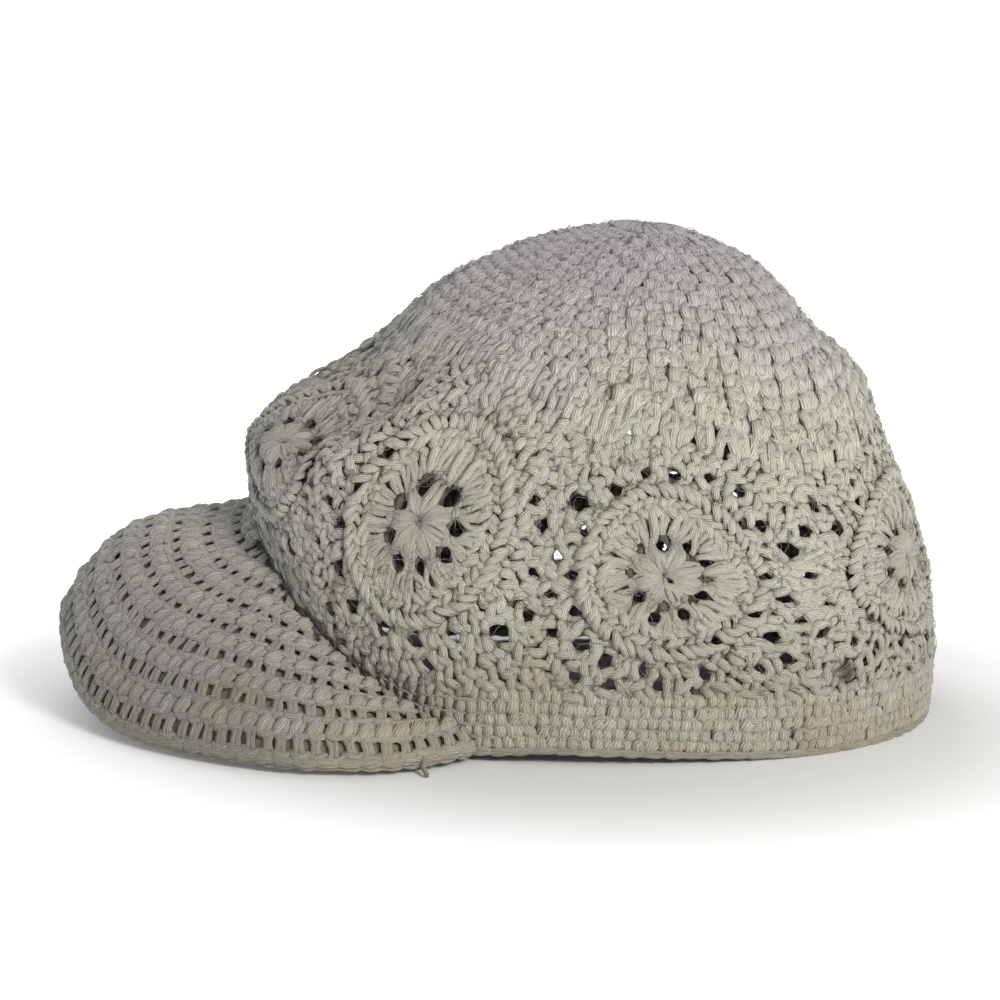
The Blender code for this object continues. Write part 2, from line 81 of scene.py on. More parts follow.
SECTIONS = tuple(Section(*row) for row in (
    (0.0, 1.0, 0.0, -1.0, 0.0, 1.0, 0.0, 0.0, 2.6),
    (0.05, 1.012, 0.062, -1.01, 0.07, 1.008, 0.062, 0.0, 2.5),
    (0.1, 1.02, 0.13, -1.012, 0.15, 1.008, 0.13, 0.0, 2.4),
    (0.19, 1.022, 0.255, -0.995, 0.265, 0.985, 0.252, 0.004, 2.2),
    (0.29, 1.005, 0.38, -0.93, 0.36, 0.938, 0.378, 0.01, 1.9),
    (0.38, 0.965, 0.498, -0.79, 0.47, 0.882, 0.495, 0.025, 1.7),
    (0.475, 0.895, 0.615, -0.615, 0.63, 0.818, 0.607, 0.055, 1.55),
    (0.54, 0.835, 0.7, -0.495, 0.76, 0.775, 0.69, 0.08, 1.45),
    (0.66, 0.675, 0.825, -0.305, 0.885, 0.62, 0.8, 0.11, 1.4),
    (0.785, 0.46, 0.92, -0.14, 0.955, 0.46, 0.915, 0.125, 1.4),
    (0.9, 0.22, 0.98, 0.01, 0.988, 0.28, 0.975, 0.125, 1.4),
    (1.0, 0.0, 1.0, 0.125, 1.0, 0.125, 1.0, 0.125, 1.4),
))


class Station(NamedTuple):
    """A line of the peak from the band to its edge, as shares of the peak's named sizes."""

    across: float
    rim: float
    out_x: float
    out_y: float
    lift: float
    arch: float


STATIONS = tuple(Station(*row) for row in (
    (0.0, 0.0, 0.0, 1.0, 1.0, 1.0),
    (0.13, 0.125, 0.24, 0.955, 0.58, 1.0),
    (0.25, 0.23, 0.44, 0.82, 0.18, 0.95),
    (0.375, 0.32, 0.65, 0.59, 0.02, 0.85),
    (0.5, 0.41, 0.845, 0.25, 0.0, 0.72),
    (0.625, 0.53, 1.0, -0.2, 0.0, 0.56),
    (0.75, 0.69, 1.02, -0.62, 0.0, 0.38),
    (0.875, 0.84, 0.95, -0.88, 0.0, 0.2),
    (1.0, 0.985, 0.858, -1.08, 0.0, 0.05),
))


class Fold(NamedTuple):
    """A ridge or valley: degrees from the front, share of the profile, slant, and sizes in wheel heights."""

    angle: float
    along: float
    slant: float
    length: float
    width: float
    depth: float


FOLDS = tuple(Fold(*row) for row in (
    (42.0, 0.36, -34.0, 0.62, 0.14, 0.08),
    (29.0, 0.36, -30.0, 0.6, 0.15, -0.1),
    (18.0, 0.205, 80.0, 0.6, 0.15, 0.035),
    (8.0, 0.42, 80.0, 0.6, 0.22, -0.05),
    (76.0, 0.33, 4.0, 0.7, 0.13, -0.06),
    (112.0, 0.57, 62.0, 0.75, 0.14, -0.06),
    (138.0, 0.64, 60.0, 0.6, 0.2, 0.045),
    (322.0, 0.34, 28.0, 0.6, 0.14, 0.06),
    (285.0, 0.4, 20.0, 0.6, 0.15, -0.045),
    (196.0, 0.62, 75.0, 0.6, 0.17, -0.035),
))


class Slump(NamedTuple):
    """Where fabric has slid down the wall: place and half sizes, and the drop in wheel heights."""

    angle: float
    half_width: float
    along: float
    half_height: float
    drop: float


SLUMPS = tuple(Slump(*row) for row in (
    (128.0, 24.0, 0.5, 0.24, 0.15),
    (236.0, 26.0, 0.5, 0.24, 0.08),
    (50.0, 18.0, 0.45, 0.2, -0.06),
))


class WheelPlace(NamedTuple):
    """One openwork wheel: its node, degrees from the front, turn of its gaps, height above the middle."""

    node: str
    middle: float
    turn: float
    above: float


WHEELS = tuple(WheelPlace(*row) for row in (
    ("wheel_front_left", 21.0, 10.0, 0.0),
    ("wheel_left_front", 56.5, 4.0, 0.03),
    ("wheel_left_back", 97.0, 0.0, -0.01),
    ("wheel_back_left", 150.0, 14.0, 0.0),
    ("wheel_back_right", 199.0, 6.0, 0.0),
    ("wheel_right_back", 246.0, 20.0, 0.02),
    ("wheel_right_front", 293.0, 8.0, 0.03),
    ("wheel_front_right", 337.0, 16.0, 0.0),
))


# Degrees each side of a wheel's middle within which gaps touch its strands.
WHEEL_REACH = 42.0


class Strand(NamedTuple):
    """One strand of a stitch: its route (pitches across, rows up, millimetres out) and thickness."""

    route: tuple[Spot, ...]
    radius: float
    flat: float
    steps: int


class Stitch(Enum):
    """The stitches of the cap, each as the strands that it is made of."""

    CLOSE = (
        (((-0.04, -0.12, -0.5), (-0.12, 0.2, 0.3), (-0.25, 0.6, 0.8), (-0.38, 1.04, -0.2)), 1.9, 0.52, 6),
        (((0.06, -0.12, -0.5), (0.17, 0.2, 0.2), (0.26, 0.6, 0.6), (0.36, 1.04, -0.3)), 1.8, 0.52, 6),
        (((-0.44, 0.78, 0.0), (-0.16, 0.98, 0.5), (0.16, 1.04, 0.5), (0.44, 0.96, 0.0)), 1.15, 0.66, 5),
    )
    TALL = (
        (((-0.14, -0.1, -0.4), (-0.24, 0.2, 0.3), (-0.27, 0.5, 0.7), (-0.24, 0.82, 0.5), (-0.1, 1.08, -0.3)),
         1.72, 0.52, 8),
        (((0.18, -0.1, -0.4), (0.26, 0.2, 0.3), (0.24, 0.5, 0.6), (0.27, 0.82, 0.4), (0.16, 1.08, -0.3)),
         1.72, 0.52, 8),
        (((-0.46, 0.4, 0.2), (-0.15, 0.56, 1.2), (0.15, 0.64, 1.2), (0.44, 0.72, 0.2)), 1.1, 0.62, 5),
        (((-0.56, 0.9, 0.0), (-0.25, 1.0, 0.2), (0.25, 1.06, 0.2), (0.56, 0.98, -0.2)), 1.2, 0.6, 5),
    )
    BAND = (
        (((-0.2, -0.16, -0.5), (-0.24, 0.22, 0.4), (-0.25, 0.6, 0.5), (-0.2, 1.04, -0.4)), 2.05, 0.44, 6),
        (((0.22, -0.16, -0.5), (0.25, 0.22, 0.4), (0.26, 0.6, 0.5), (0.24, 1.04, -0.4)), 2.05, 0.44, 6),
        (((-0.6, 0.86, -0.2), (-0.2, 0.92, 0.2), (0.2, 0.92, 0.2), (0.6, 0.86, -0.2)), 1.05, 0.7, 5),
    )
    POST = (
        (((-0.28, -0.16, -0.3), (-0.16, 0.26, 0.3), (-0.13, 0.66, 0.3), (-0.3, 1.12, -0.3)), 0.98, 0.8, 6),
        (((0.18, -0.16, -0.3), (0.1, 0.26, 0.3), (0.1, 0.66, 0.3), (0.24, 1.12, -0.3)), 0.98, 0.8, 6),
        (((-0.6, 0.14, 0.0), (-0.2, -0.08, 0.4), (0.2, -0.08, 0.4), (0.6, 0.14, 0.0)), 1.4, 0.66, 5),
    )
    SLANT = (
        (((-0.48, -0.08, -0.3), (-0.32, 0.24, 0.5), (-0.04, 0.62, 0.8), (0.18, 1.06, -0.2)), 1.72, 0.56, 6),
        (((-0.1, -0.12, -0.3), (0.06, 0.26, 0.2), (0.28, 0.58, 0.3), (0.48, 1.02, -0.3)), 1.5, 0.58, 6),
        (((-0.6, 0.12, 0.0), (-0.2, -0.02, 0.2), (0.2, -0.02, 0.2), (0.6, 0.12, 0.0)), 1.3, 0.66, 5),
    )
    CHAIN = (
        (((-0.16, 0.06, -0.5), (0.14, 0.36, 0.2), (0.6, 0.54, 0.6), (1.1, 0.24, 0.2)), 1.15, 0.66, 6),
        (((-0.16, -0.06, -0.5), (0.14, -0.36, 0.2), (0.6, -0.54, 0.6), (1.1, -0.24, 0.2)), 1.15, 0.66, 6),
    )

    def strands(self) -> Iterator[tuple[Strand, Array]]:
        """Each strand, and its route read smoothly at its number of steps."""
        for row in self.value:
            strand = Strand(*row)
            yield strand, smooth_route(strand.route, strand.steps)


class FoldEdge(NamedTuple):
    """An edge of stitches standing proud: its ends on a wheel's flat panel in metres, and its size."""

    node: str
    start: tuple[float, float]
    end: tuple[float, float]
    stitches: int
    proud: float


FOLD_EDGE = FoldEdge("wheel_front_left", (0.0100, 0.0300), (0.0310, 0.0050), 14, 1.9)


class BraidYarn(NamedTuple):
    """Strands of a braided ring in millimetres: spacing, thickness, half length and unevenness."""

    spacing: float
    thick: float
    half_length: float
    stray: float
    drift: float
    tilt: float
    heave: float


TIGHT_BRAID = BraidYarn(2.35, 1.24, 1.80, 0.12, 0.30, 0.25, 0.15)
LOOSE_BRAID = BraidYarn(2.55, 1.38, 2.05, 0.22, 0.50, 0.45, 0.25)


class EvenRing(NamedTuple):
    """Even gaps round a wheel: number, reach and half sizes in millimetres, first bearing in radians."""

    count: int
    reach: float
    wide: float
    high: float
    start: float


EVEN_RINGS = (EvenRing(8, 9.4, 1.5, 1.4, 0.0), EvenRing(11, 27.3, 1.6, 1.5, 0.2))
CORNER_GAPS = ((-0.5, 0.27), (-0.5, -0.25), (-0.40, 0.40), (0.40, -0.40), (-0.40, -0.40), (0.40, 0.40))


class LooseEnd(NamedTuple):
    """A short free stretch of yarn: its points in metres, and its thickness in millimetres."""

    points: tuple[Spot, ...]
    thick: float


PEAK_TAIL = LooseEnd(((0.0866, -0.0226, 0.0042), (0.0886, -0.0226, 0.0026), (0.0906, -0.0222, 0.0013),
                      (0.0926, -0.0219, 0.0008)), 0.7)
BACK_LOOP = LooseEnd(((0.0310, 0.1150, 0.0468), (0.0325, 0.1188, 0.0476), (0.0330, 0.1197, 0.0454),
                      (0.0325, 0.1186, 0.0433), (0.0310, 0.1150, 0.0430)), 0.95)


class SeenGap(NamedTuple):
    """A gap of the openwork seen in the photograph: pixel column and row, half width and height in mm."""

    column: float
    row: float
    wide: float
    high: float


SEEN_GAPS = tuple(SeenGap(*row) for row in (
    (425, 489, 1.8, 1.3), (449, 499, 1.6, 2), (456, 529, 1.6, 1.6),
    (446, 556, 1.2, 1.8), (421, 568, 1, 1.5), (399, 560, 1.8, 1.6),
    (392, 536, 1.2, 1.5), (405, 505, 0.8, 1.3),
    (294, 551, 1.4, 1.2), (321, 539, 1.2, 1.4), (331, 499, 1, 1.4),
    (359, 489, 1.2, 1.2), (343, 524, 1, 1.4), (341, 568, 1.5, 2.2),
    (332, 609, 1.3, 1.5), (354, 606, 1.8, 1.8), (384, 627, 1.7, 1.4),
    (418, 638, 2.1, 1.4), (455, 635, 1.6, 1.3), (499, 633, 2.6, 2.2),
    (527, 616, 1.7, 1.5), (551, 595, 1.2, 1.2), (533, 571, 1.2, 1.3),
    (545, 526, 1.5, 1.7), (532, 499, 1, 1.4), (357, 439, 1.2, 1.2),
    (387, 453, 1.2, 1.2), (364, 657, 1.1, 1.4), (429, 664, 1.3, 1.3),
    (661, 547, 1.4, 1.2), (687, 548, 1.4, 1.2), (703, 564, 1.4, 1.3),
    (701, 595, 1.4, 1.4), (683, 615, 1.5, 1.4), (653, 617, 1.7, 1.3),
    (638, 598, 1.3, 1.3), (669, 581, 0.9, 0.9),
    (580, 503, 2.8, 2), (585, 532, 1.3, 1.5), (560, 555, 1.5, 1.5),
    (573, 576, 1.4, 1.4), (573, 612, 1.3, 1.6), (583, 644, 2.2, 1.8),
    (553, 632, 1.3, 1.2), (573, 676, 1.5, 1.2), (605, 660, 1.6, 1.6),
    (611, 685, 1.4, 1.1), (643, 671, 1.3, 1.1), (656, 687, 1.6, 1.1),
    (705, 675, 1.8, 1.3), (715, 640, 1, 1.2), (755, 613, 1.3, 1.6),
    (765, 575, 1.3, 1.8), (760, 527, 1.4, 1.8), (740, 525, 1, 1.4),
    (737, 492, 1.6, 1.3), (708, 479, 1.5, 1.1), (675, 475, 1.6, 1),
    (645, 475, 1.4, 1), (616, 491, 1.7, 1.3),
    (789, 551, 2.9, 2.6), (783, 599, 2.3, 2.2), (809, 576, 1, 2.4),
    (835, 532, 1.3, 1.8), (815, 508, 1.2, 1.4), (772, 636, 2.2, 1.8),
    (800, 619, 1.3, 1.6), (788, 659, 1.6, 1.2), (820, 632, 1.2, 1.4),
    (828, 603, 1.1, 1.8), (851, 640, 1.1, 1.4), (757, 669, 1.3, 1.1),
    (873, 653, 1, 1.2),
))

SEEN_SLITS = tuple(SeenGap(*row) for row in (
    (587, 447, 0.9, 2.2), (628, 444, 1.2, 1.8), (656, 449, 1.1, 1.9),
    (691, 449, 1.2, 1.8), (727, 459, 1.1, 2), (759, 472, 1, 2),
    (792, 489, 1, 2.2), (827, 481, 1, 1.8), (468, 427, 0.8, 1),
    (496, 445, 1.3, 1.1), (515, 424, 0.8, 1.2), (551, 440, 0.9, 1.3),
))


def smooth_curve(places: Array, values: Array, where: Array) -> Array:
    """A smooth curve through a table's column: cubic Hermite pieces with finite-difference slopes.

    Args:
        places: The table's rising places.
        values: The column's value at each place, or a row of values.
        where: Places to read, held inside the table.

    Returns:
        The curve's value, or row of values, at each place to read.
    """
    places = np.asarray(places, float)
    values = np.asarray(values, float)
    slopes = np.gradient(values, places, axis=0)
    where = np.clip(where, places[0], places[-1])
    low = np.clip(np.searchsorted(places, where, side="right") - 1, 0, len(places) - 2)
    span = places[low + 1] - places[low]
    t = (where - places[low]) / span
    if values.ndim > 1:
        t, span = t[..., None], span[..., None]
    start = (1 + 2 * t) * (1 - t) ** 2 * values[low] + t * (1 - t) ** 2 * span * slopes[low]
    end = t * t * (3 - 2 * t) * values[low + 1] + t * t * (t - 1) * span * slopes[low + 1]
    return start + end


def signed_turn(angle: Array) -> Array:
    """The angle brought between -pi and pi."""
    return (angle + math.pi) % TURN - math.pi


def unit(vectors: Array) -> Array:
    """The vectors, each made one long."""
    return vectors / np.maximum(np.linalg.norm(vectors, axis=-1, keepdims=True), 1e-12)


def add_object(name: str, data: bpy.types.ID) -> Piece:
    """A new object in the scene."""
    made = bpy.data.objects.new(name, data)
    bpy.context.scene.collection.objects.link(made)
    return made


def smooth_route(points: tuple[Spot, ...], steps: int) -> Array:
    """A route's few points read smoothly at a number of even steps."""
    route = np.array(points)
    return smooth_curve(np.linspace(0, 1, len(route)), route, np.linspace(0, 1, steps))


def lengths_along(points: Array) -> Array:
    """Metres from a line's first point to each of its points."""
    return np.concatenate([[0], np.cumsum(np.linalg.norm(np.diff(points, axis=0), axis=1))])


def along_and_beside(centre: Array, outward: Array) -> tuple[Array, Array]:
    """Unit directions along each route, and to its side within the fabric."""
    run = unit(np.gradient(centre, axis=1))
    return run, unit(np.cross(run, outward))


def linear(red: float, green: float, blue: float) -> Colour:
    """A colour given as 0 to 255 display values, as the linear colour that shaders take."""
    values = [channel / 255 for channel in (red, green, blue)]
    bent = [v / 12.92 if v <= 0.04045 else ((v + 0.055) / 1.055) ** 2.4 for v in values]
    return (bent[0], bent[1], bent[2], 1.0)


@dataclass(frozen=True)
class CapForm:
    """The cap's fabric as a surface of angle from the front, share along the profile, and offset."""

    front_reach: float = 0.0985
    back_reach: float = 0.0960
    half_width: float = 0.0790
    crown_height: float = 0.1385
    front_rise: float = 0.0560
    headband_height: float = 0.0180
    front_tuck: float = 0.62
    tuck_whole: float = 46.0
    tuck_end: float = 78.0
    wheel_height: float = 0.0680
    side_lift: float = 0.0026
    side_lift_middle: float = 82.0
    side_lift_half: float = 44.0
    wall: float = 0.0030
    gap: float = 0.0003
    peak_reach: float = 0.0570
    squareness: float = 0.040
    wheel_puff: float = 0.0016
    normal_step: float = 0.0028
    lattice_turns: int = 361
    lattice_shares: int = 241

    @cached_property
    def profile(self) -> float:
        """Length of the wall from the rim to the pole, measured up the side."""
        points = self.plain(np.full(200, math.pi / 2), np.linspace(0, 1, 200))
        return float(np.linalg.norm(np.diff(points, axis=0), axis=1).sum())

    @property
    def panel_top(self) -> float:
        """Length of the wall from the rim to the top of the wheels."""
        return self.headband_height + self.wheel_height

    @cached_property
    def mean_radius(self) -> float:
        """Mean radius of the head opening."""
        return (self.front_reach + self.back_reach + 2 * self.half_width) / 4

    @cached_property
    def shift(self) -> float:
        """How far back everything moves so that the origin lies under the middle of the box."""
        angle, along = np.full(40, math.pi), self.settled(np.full(40, math.pi), np.linspace(0, 0.4, 40))
        outward = self.normal_of(self.folded, angle, along)
        back = (self.folded(angle, along) + self.wall / 2 * outward)[:, 1].max()
        return (self.front_reach + self.peak_reach - back) / 2

    def plain(self, angle: Array, along: Array) -> Array:
        """The middle surface without folds.

        A round is an ellipse whose front, back and side reaches and heights come from SECTIONS, with
        the height eased from the side's to the front's by a power of the cosine.

        Args:
            angle: Radians from the front, rising towards the wearer's left.
            along: Share of the profile from the rim, 0, to the pole, 1.

        Returns:
            Points, with x, y and z in the last axis.
        """
        columns = smooth_curve([row.along for row in SECTIONS], [row[1:] for row in SECTIONS], along)
        read = dict(zip(Section._fields[1:], np.moveaxis(columns, -1, 0)))
        ahead = np.clip(np.cos(angle), 0.0, None)
        behind = np.clip(-np.cos(angle), 0.0, None)
        front_y = read["front_y"] * np.where(read["front_y"] < 0, self.front_reach, self.back_reach)
        mid_y = read["mid_y"] * self.back_reach
        back_y = read["back_y"] * self.back_reach
        front_z = self.front_rise + read["climb"] * (self.crown_height - self.front_rise)
        side_z = read["side_z"] * self.crown_height
        back_z = read["back_z"] * self.crown_height
        corner = 1 + self.squareness * np.sin(2 * angle) ** 2
        x = read["side_x"] * self.half_width * np.sin(angle) * corner
        y = mid_y + ((front_y - mid_y) * ahead + (back_y - mid_y) * behind) * corner
        z = side_z + (front_z - side_z) * ahead ** read["lean"] + (back_z - side_z) * behind ** 1.5
        off = (np.degrees(np.abs(signed_turn(angle))) - self.side_lift_middle) / self.side_lift_half
        z = z + self.side_lift * np.clip(1 - off ** 2, 0.0, None) ** 2 * (1 - along) ** 2
        return np.stack([x, y, z], axis=-1)

    def normal_of(self, surface: Surface, angle: Array, along: Array) -> Array:
        """Outward unit normal of a surface: the cross product of its two finite differences."""
        step = self.normal_step * self.profile / self.mean_radius
        low = np.clip(along - self.normal_step, 0.0, 1.0 - 2 * self.normal_step)
        around = surface(angle + step, along) - surface(angle - step, along)
        up = surface(angle, low + 2 * self.normal_step) - surface(angle, low)
        normal = np.cross(around, up)
        length = np.linalg.norm(normal, axis=-1, keepdims=True)
        pole = np.broadcast_to(np.array([0.0, 0.0, 1.0]), normal.shape)
        return np.where(length > 1e-12, normal / np.maximum(length, 1e-12), pole)

    def fold_height(self, angle: Array, along: Array) -> Array:
        """How far folds and puffed wheels push the surface out: a sum of bell-shaped ridges, in metres."""
        height = np.zeros(np.broadcast(angle, along).shape)
        for fold in FOLDS:
            across = signed_turn(angle - math.radians(fold.angle)) * self.mean_radius
            up = (along - fold.along) * self.profile
            turn = math.radians(fold.slant)
            beside = across * math.cos(turn) + up * math.sin(turn)
            lengthwise = up * math.cos(turn) - across * math.sin(turn)
            shape = np.exp(-(beside / (fold.width * self.wheel_height)) ** 2)
            shape *= np.exp(-(lengthwise / (0.5 * fold.length * self.wheel_height)) ** 4)
            height += fold.depth * self.wheel_height * shape
        rise = (along - (self.headband_height + self.wheel_height / 2) / self.profile) * self.profile
        for wheel in WHEELS:
            across = signed_turn(angle - math.radians(wheel.middle)) * self.mean_radius
            bell = np.exp(-(across ** 2 + rise ** 2) / (0.36 * self.wheel_height) ** 2)
            height += self.wheel_puff * bell
        fade = np.clip(along / (0.7 * self.headband_height / self.profile), 0.0, 1.0)
        return height * fade ** 2

    def folded(self, angle: Array, along: Array) -> Array:
        """The middle surface with its folds."""
        push = self.fold_height(angle, along)[..., None]
        return self.plain(angle, along) + push * self.normal_of(self.plain, angle, along)

    def settled(self, angle: Array, along: Array) -> Array:
        """The share of the profile where a round of the fabric lies once it has slid down the wall."""
        lower = np.zeros(np.broadcast(angle, along).shape)
        for slump in SLUMPS:
            beside = signed_turn(angle - math.radians(slump.angle)) / math.radians(slump.half_width)
            up = (along - slump.along) / slump.half_height
            lower += slump.drop * self.wheel_height / self.profile * np.exp(-beside ** 2 - up ** 4)
        ends = np.clip(4 * along, 0, 1) * np.clip(4 * (1 - along), 0, 1)
        return np.clip(along - lower * ends, 0, 1)

    @cached_property
    def lattice(self) -> Array:
        """Points and normals of the folded surface on an even grid of angles and shares."""
        angle, along = np.meshgrid(np.linspace(0, TURN, self.lattice_turns),
                                   np.linspace(0, 1, self.lattice_shares), indexing="ij")
        return np.concatenate([self.folded(angle, along), self.normal_of(self.folded, angle, along)], axis=-1)

    def read_lattice(self, angle: Array, along: Array) -> Array:
        """Points and normals between the lattice's lines: a weighted mean of the four corners."""
        turns = (angle % TURN) / TURN * (self.lattice_turns - 1)
        shares = along * (self.lattice_shares - 1)
        i = np.clip(turns.astype(int), 0, self.lattice_turns - 2)
        j = np.clip(shares.astype(int), 0, self.lattice_shares - 2)
        u, v = (turns - i)[..., None], (shares - j)[..., None]
        grid = self.lattice
        near = grid[i, j] * (1 - u) + grid[i + 1, j] * u
        return near * (1 - v) + (grid[i, j + 1] * (1 - u) + grid[i + 1, j + 1] * u) * v

    def place(self, angle: Array, along: Numbers, offset: Numbers) -> tuple[Array, Array]:
        """Points of the fabric in the model's frame, and the outward normals there.

        Args:
            angle: Radians from the front.
            along: Share of the profile. Below 0 the fabric runs straight down past its rim.
            offset: Metres outside the middle surface.

        Returns:
            Points and unit normals.
        """
        angle, along, offset = np.broadcast_arrays(angle, along, offset)
        on_wall = self.settled(angle, np.clip(along, 0, 1))
        read = self.read_lattice(angle, on_wall)
        normal = unit(read[..., 3:])
        points = read[..., :3] + offset[..., None] * normal
        points[..., 2] += np.clip(along, None, 0) * self.profile
        points[..., 1] += self.shift
        return points, normal

    def band_top(self, angle: Array) -> Array:
        """Height of the headband along the wall, lower where it is tucked up behind the peak."""
        turned = np.degrees(np.abs(signed_turn(angle)))
        share = np.clip((self.tuck_end - turned) / (self.tuck_end - self.tuck_whole), 0.0, 1.0)
        return self.headband_height * (1 - self.front_tuck * share * share * (3 - 2 * share))


@dataclass(frozen=True)
class PeakForm:
    """The peak's top as a surface of across, from -1 to 1, and out, from the band, 0, to its edge, 1."""

    cap: CapForm
    half_width: float = 0.0900
    front_lift: float = 0.0240
    arch: float = 0.0105
    span: float = 69.0
    seat: float = 0.0046
    layer: float = 0.0024
    insert: float = 0.0010

    def read(self, name: str, across: Array) -> Array:
        """A column of STATIONS from the peak's right end to its left: rim and out_x change sign."""
        sign = -1 if name in ("rim", "out_x") else 1
        right = [(-row.across, sign * getattr(row, name)) for row in reversed(STATIONS[1:])]
        places, values = zip(*(right + [(row.across, getattr(row, name)) for row in STATIONS]))
        return smooth_curve(np.array(places), np.array(values), across)

    def surface(self, across: Array, out: Array, drop: Numbers) -> Array:
        """Points of the peak: a straight line from band to edge, raised by a sine arch.

        Args:
            across: Place from the peak's right end, -1, to its left end, 1.
            out: Share of the way from the band to the outer edge.
            drop: Metres below the top.

        Returns:
            Points in the model's frame.
        """
        across, out, drop = np.broadcast_arrays(across, out, drop)
        cap = self.cap
        angle = self.read("rim", across) * math.radians(self.span)
        seat = np.clip((self.seat - drop) / cap.profile, 0.0, None)
        start = cap.place(angle, seat, cap.wall / 2 + cap.gap)[0]
        edge_x = self.read("out_x", across) * self.half_width
        edge_y = cap.shift - cap.front_reach - self.read("out_y", across) * cap.peak_reach
        thickness = self.layer + self.insert + cap.gap
        edge_z = np.clip(self.read("lift", across), 0.0, None) * self.front_lift + thickness
        end = np.stack([edge_x, edge_y, edge_z - drop], axis=-1)
        rise = self.arch * self.read("arch", across) * np.sin(math.pi * np.clip(out, 0, 1) ** 1.25)
        lean = np.stack([0.35 * np.sin(angle), -0.35 * np.cos(angle), np.full(angle.shape, 0.94)], axis=-1)
        return start + (end - start) * out[..., None] + rise[..., None] * lean

    @cached_property
    def width_table(self) -> tuple[Array, Array]:
        """Stations across the peak and the distance from band to edge at each."""
        across = np.linspace(-1, 1, 161)
        ends = self.surface(across[None, :], np.array([[0.0], [1.0]]), 0.0)
        return across, np.linalg.norm(ends[1] - ends[0], axis=-1)

    def width(self, across: Array) -> Array:
        """Distance from the band to the outer edge."""
        return np.interp(across, *self.width_table)

    def place(self, across: Array, inset: Numbers, offset: Numbers) -> tuple[Array, Array]:
        """Points at a distance in from the outer edge, and the normals of the peak's top there.

        Args:
            across: Place from -1 to 1.
            inset: Metres in from the outer edge.
            offset: Metres above the middle of the crochet layer.

        Returns:
            Points and unit normals.
        """
        across, inset, offset = np.broadcast_arrays(across, inset, offset)
        step = 0.01
        width = self.width(across)
        out = np.clip(1 - inset / width, 0.0, 1.1)
        left = np.clip(across, -1 + step, 1 - step)
        run = self.surface(left + step, out, 0.0) - self.surface(left - step, out, 0.0)
        low = np.clip(out, 0, 1 - 2 * step)
        reach = self.surface(across, low + 2 * step, 0.0) - self.surface(across, low, 0.0)
        normal = unit(np.cross(reach, run))
        normal *= np.sign(normal[..., 2:])
        points = self.surface(across, out, self.layer / 2)
        return points + offset[..., None] * normal, normal


@dataclass
class Gaps:
    """Gaps of the openwork on the fabric, with the strands near them pushed aside."""

    form: CapForm
    angle: Array
    along: Array
    wide: Array
    high: Array

    def joined(self, other: "Gaps") -> "Gaps":
        """These gaps and the others."""
        pairs = [(getattr(self, name), getattr(other, name)) for name in ("angle", "along", "wide", "high")]
        return Gaps(self.form, *[np.concatenate(pair) for pair in pairs])

    def only(self, keep: Array) -> "Gaps":
        """The gaps where a row of true and false says true."""
        return Gaps(self.form, self.angle[keep], self.along[keep], self.wide[keep], self.high[keep])

    def near(self, middle: float, half: float) -> "Gaps":
        """The gaps within half radians of an angle."""
        return self.only(np.abs(signed_turn(self.angle - middle)) < half)

    @cached_property
    def scales(self) -> Array:
        """Metres of fabric for each radian of angle at each gap."""
        step = 0.02
        ahead = self.form.place(self.angle + step, self.along, 0.0)[0]
        behind = self.form.place(self.angle - step, self.along, 0.0)[0]
        return np.linalg.norm(ahead - behind, axis=-1) / (2 * step)

    def part(self, angle: Array, along: Array, radius: float) -> tuple[Array, Array]:
        """Strands pushed sideways round each gap.

        Beside a gap a strand's sideways distance s becomes the cube root of s cubed plus the cube of
        the gap's half size and the strand's radius, faded along the strand by a bell.

        Args:
            angle: Strands' angles, one strand a row.
            along: Their shares of the profile.
            radius: The strands' radius.

        Returns:
            The new angles and shares.
        """
        profile = self.form.profile
        room = 0.8 * radius
        for a, b, wide, high, scale in zip(self.angle, self.along, self.wide, self.high, self.scales):
            x = signed_turn(angle - a) * scale
            y = (along - b) * profile
            close = (np.hypot(x, y).min(axis=1) < 4 * max(wide, high) + 2 * radius)
            if not close.any():
                continue
            x, y = x[close], y[close]
            run = unit(np.stack([x[:, -1] - x[:, 0], y[:, -1] - y[:, 0]], axis=-1))
            side = np.stack([-run[:, 1], run[:, 0]], axis=-1)
            s = x * side[:, :1] + y * side[:, 1:]
            l = x * run[:, :1] + y * run[:, 1:]
            half_s = np.hypot(wide * side[:, :1], high * side[:, 1:]) + room
            half_l = np.hypot(wide * run[:, :1], high * run[:, 1:]) + room
            nearest = np.abs(l).argmin(axis=1)
            sign = np.sign(s[np.arange(len(s)), nearest] + 1e-9)[:, None]
            bell = np.exp(-(l / half_l) ** 4)
            moved = sign * (np.abs(s) ** 3 + half_s ** 3 * bell) ** (1 / 3)
            moved = np.where(np.sign(s) == sign, moved, s * (1 - bell) + moved * bell)
            x2 = moved * side[:, :1] + l * run[:, :1]
            y2 = moved * side[:, 1:] + l * run[:, 1:]
            angle = angle.copy()
            along = along.copy()
            angle[close] += (x2 - x) / scale
            along[close] += (y2 - y) / profile
        return angle, along


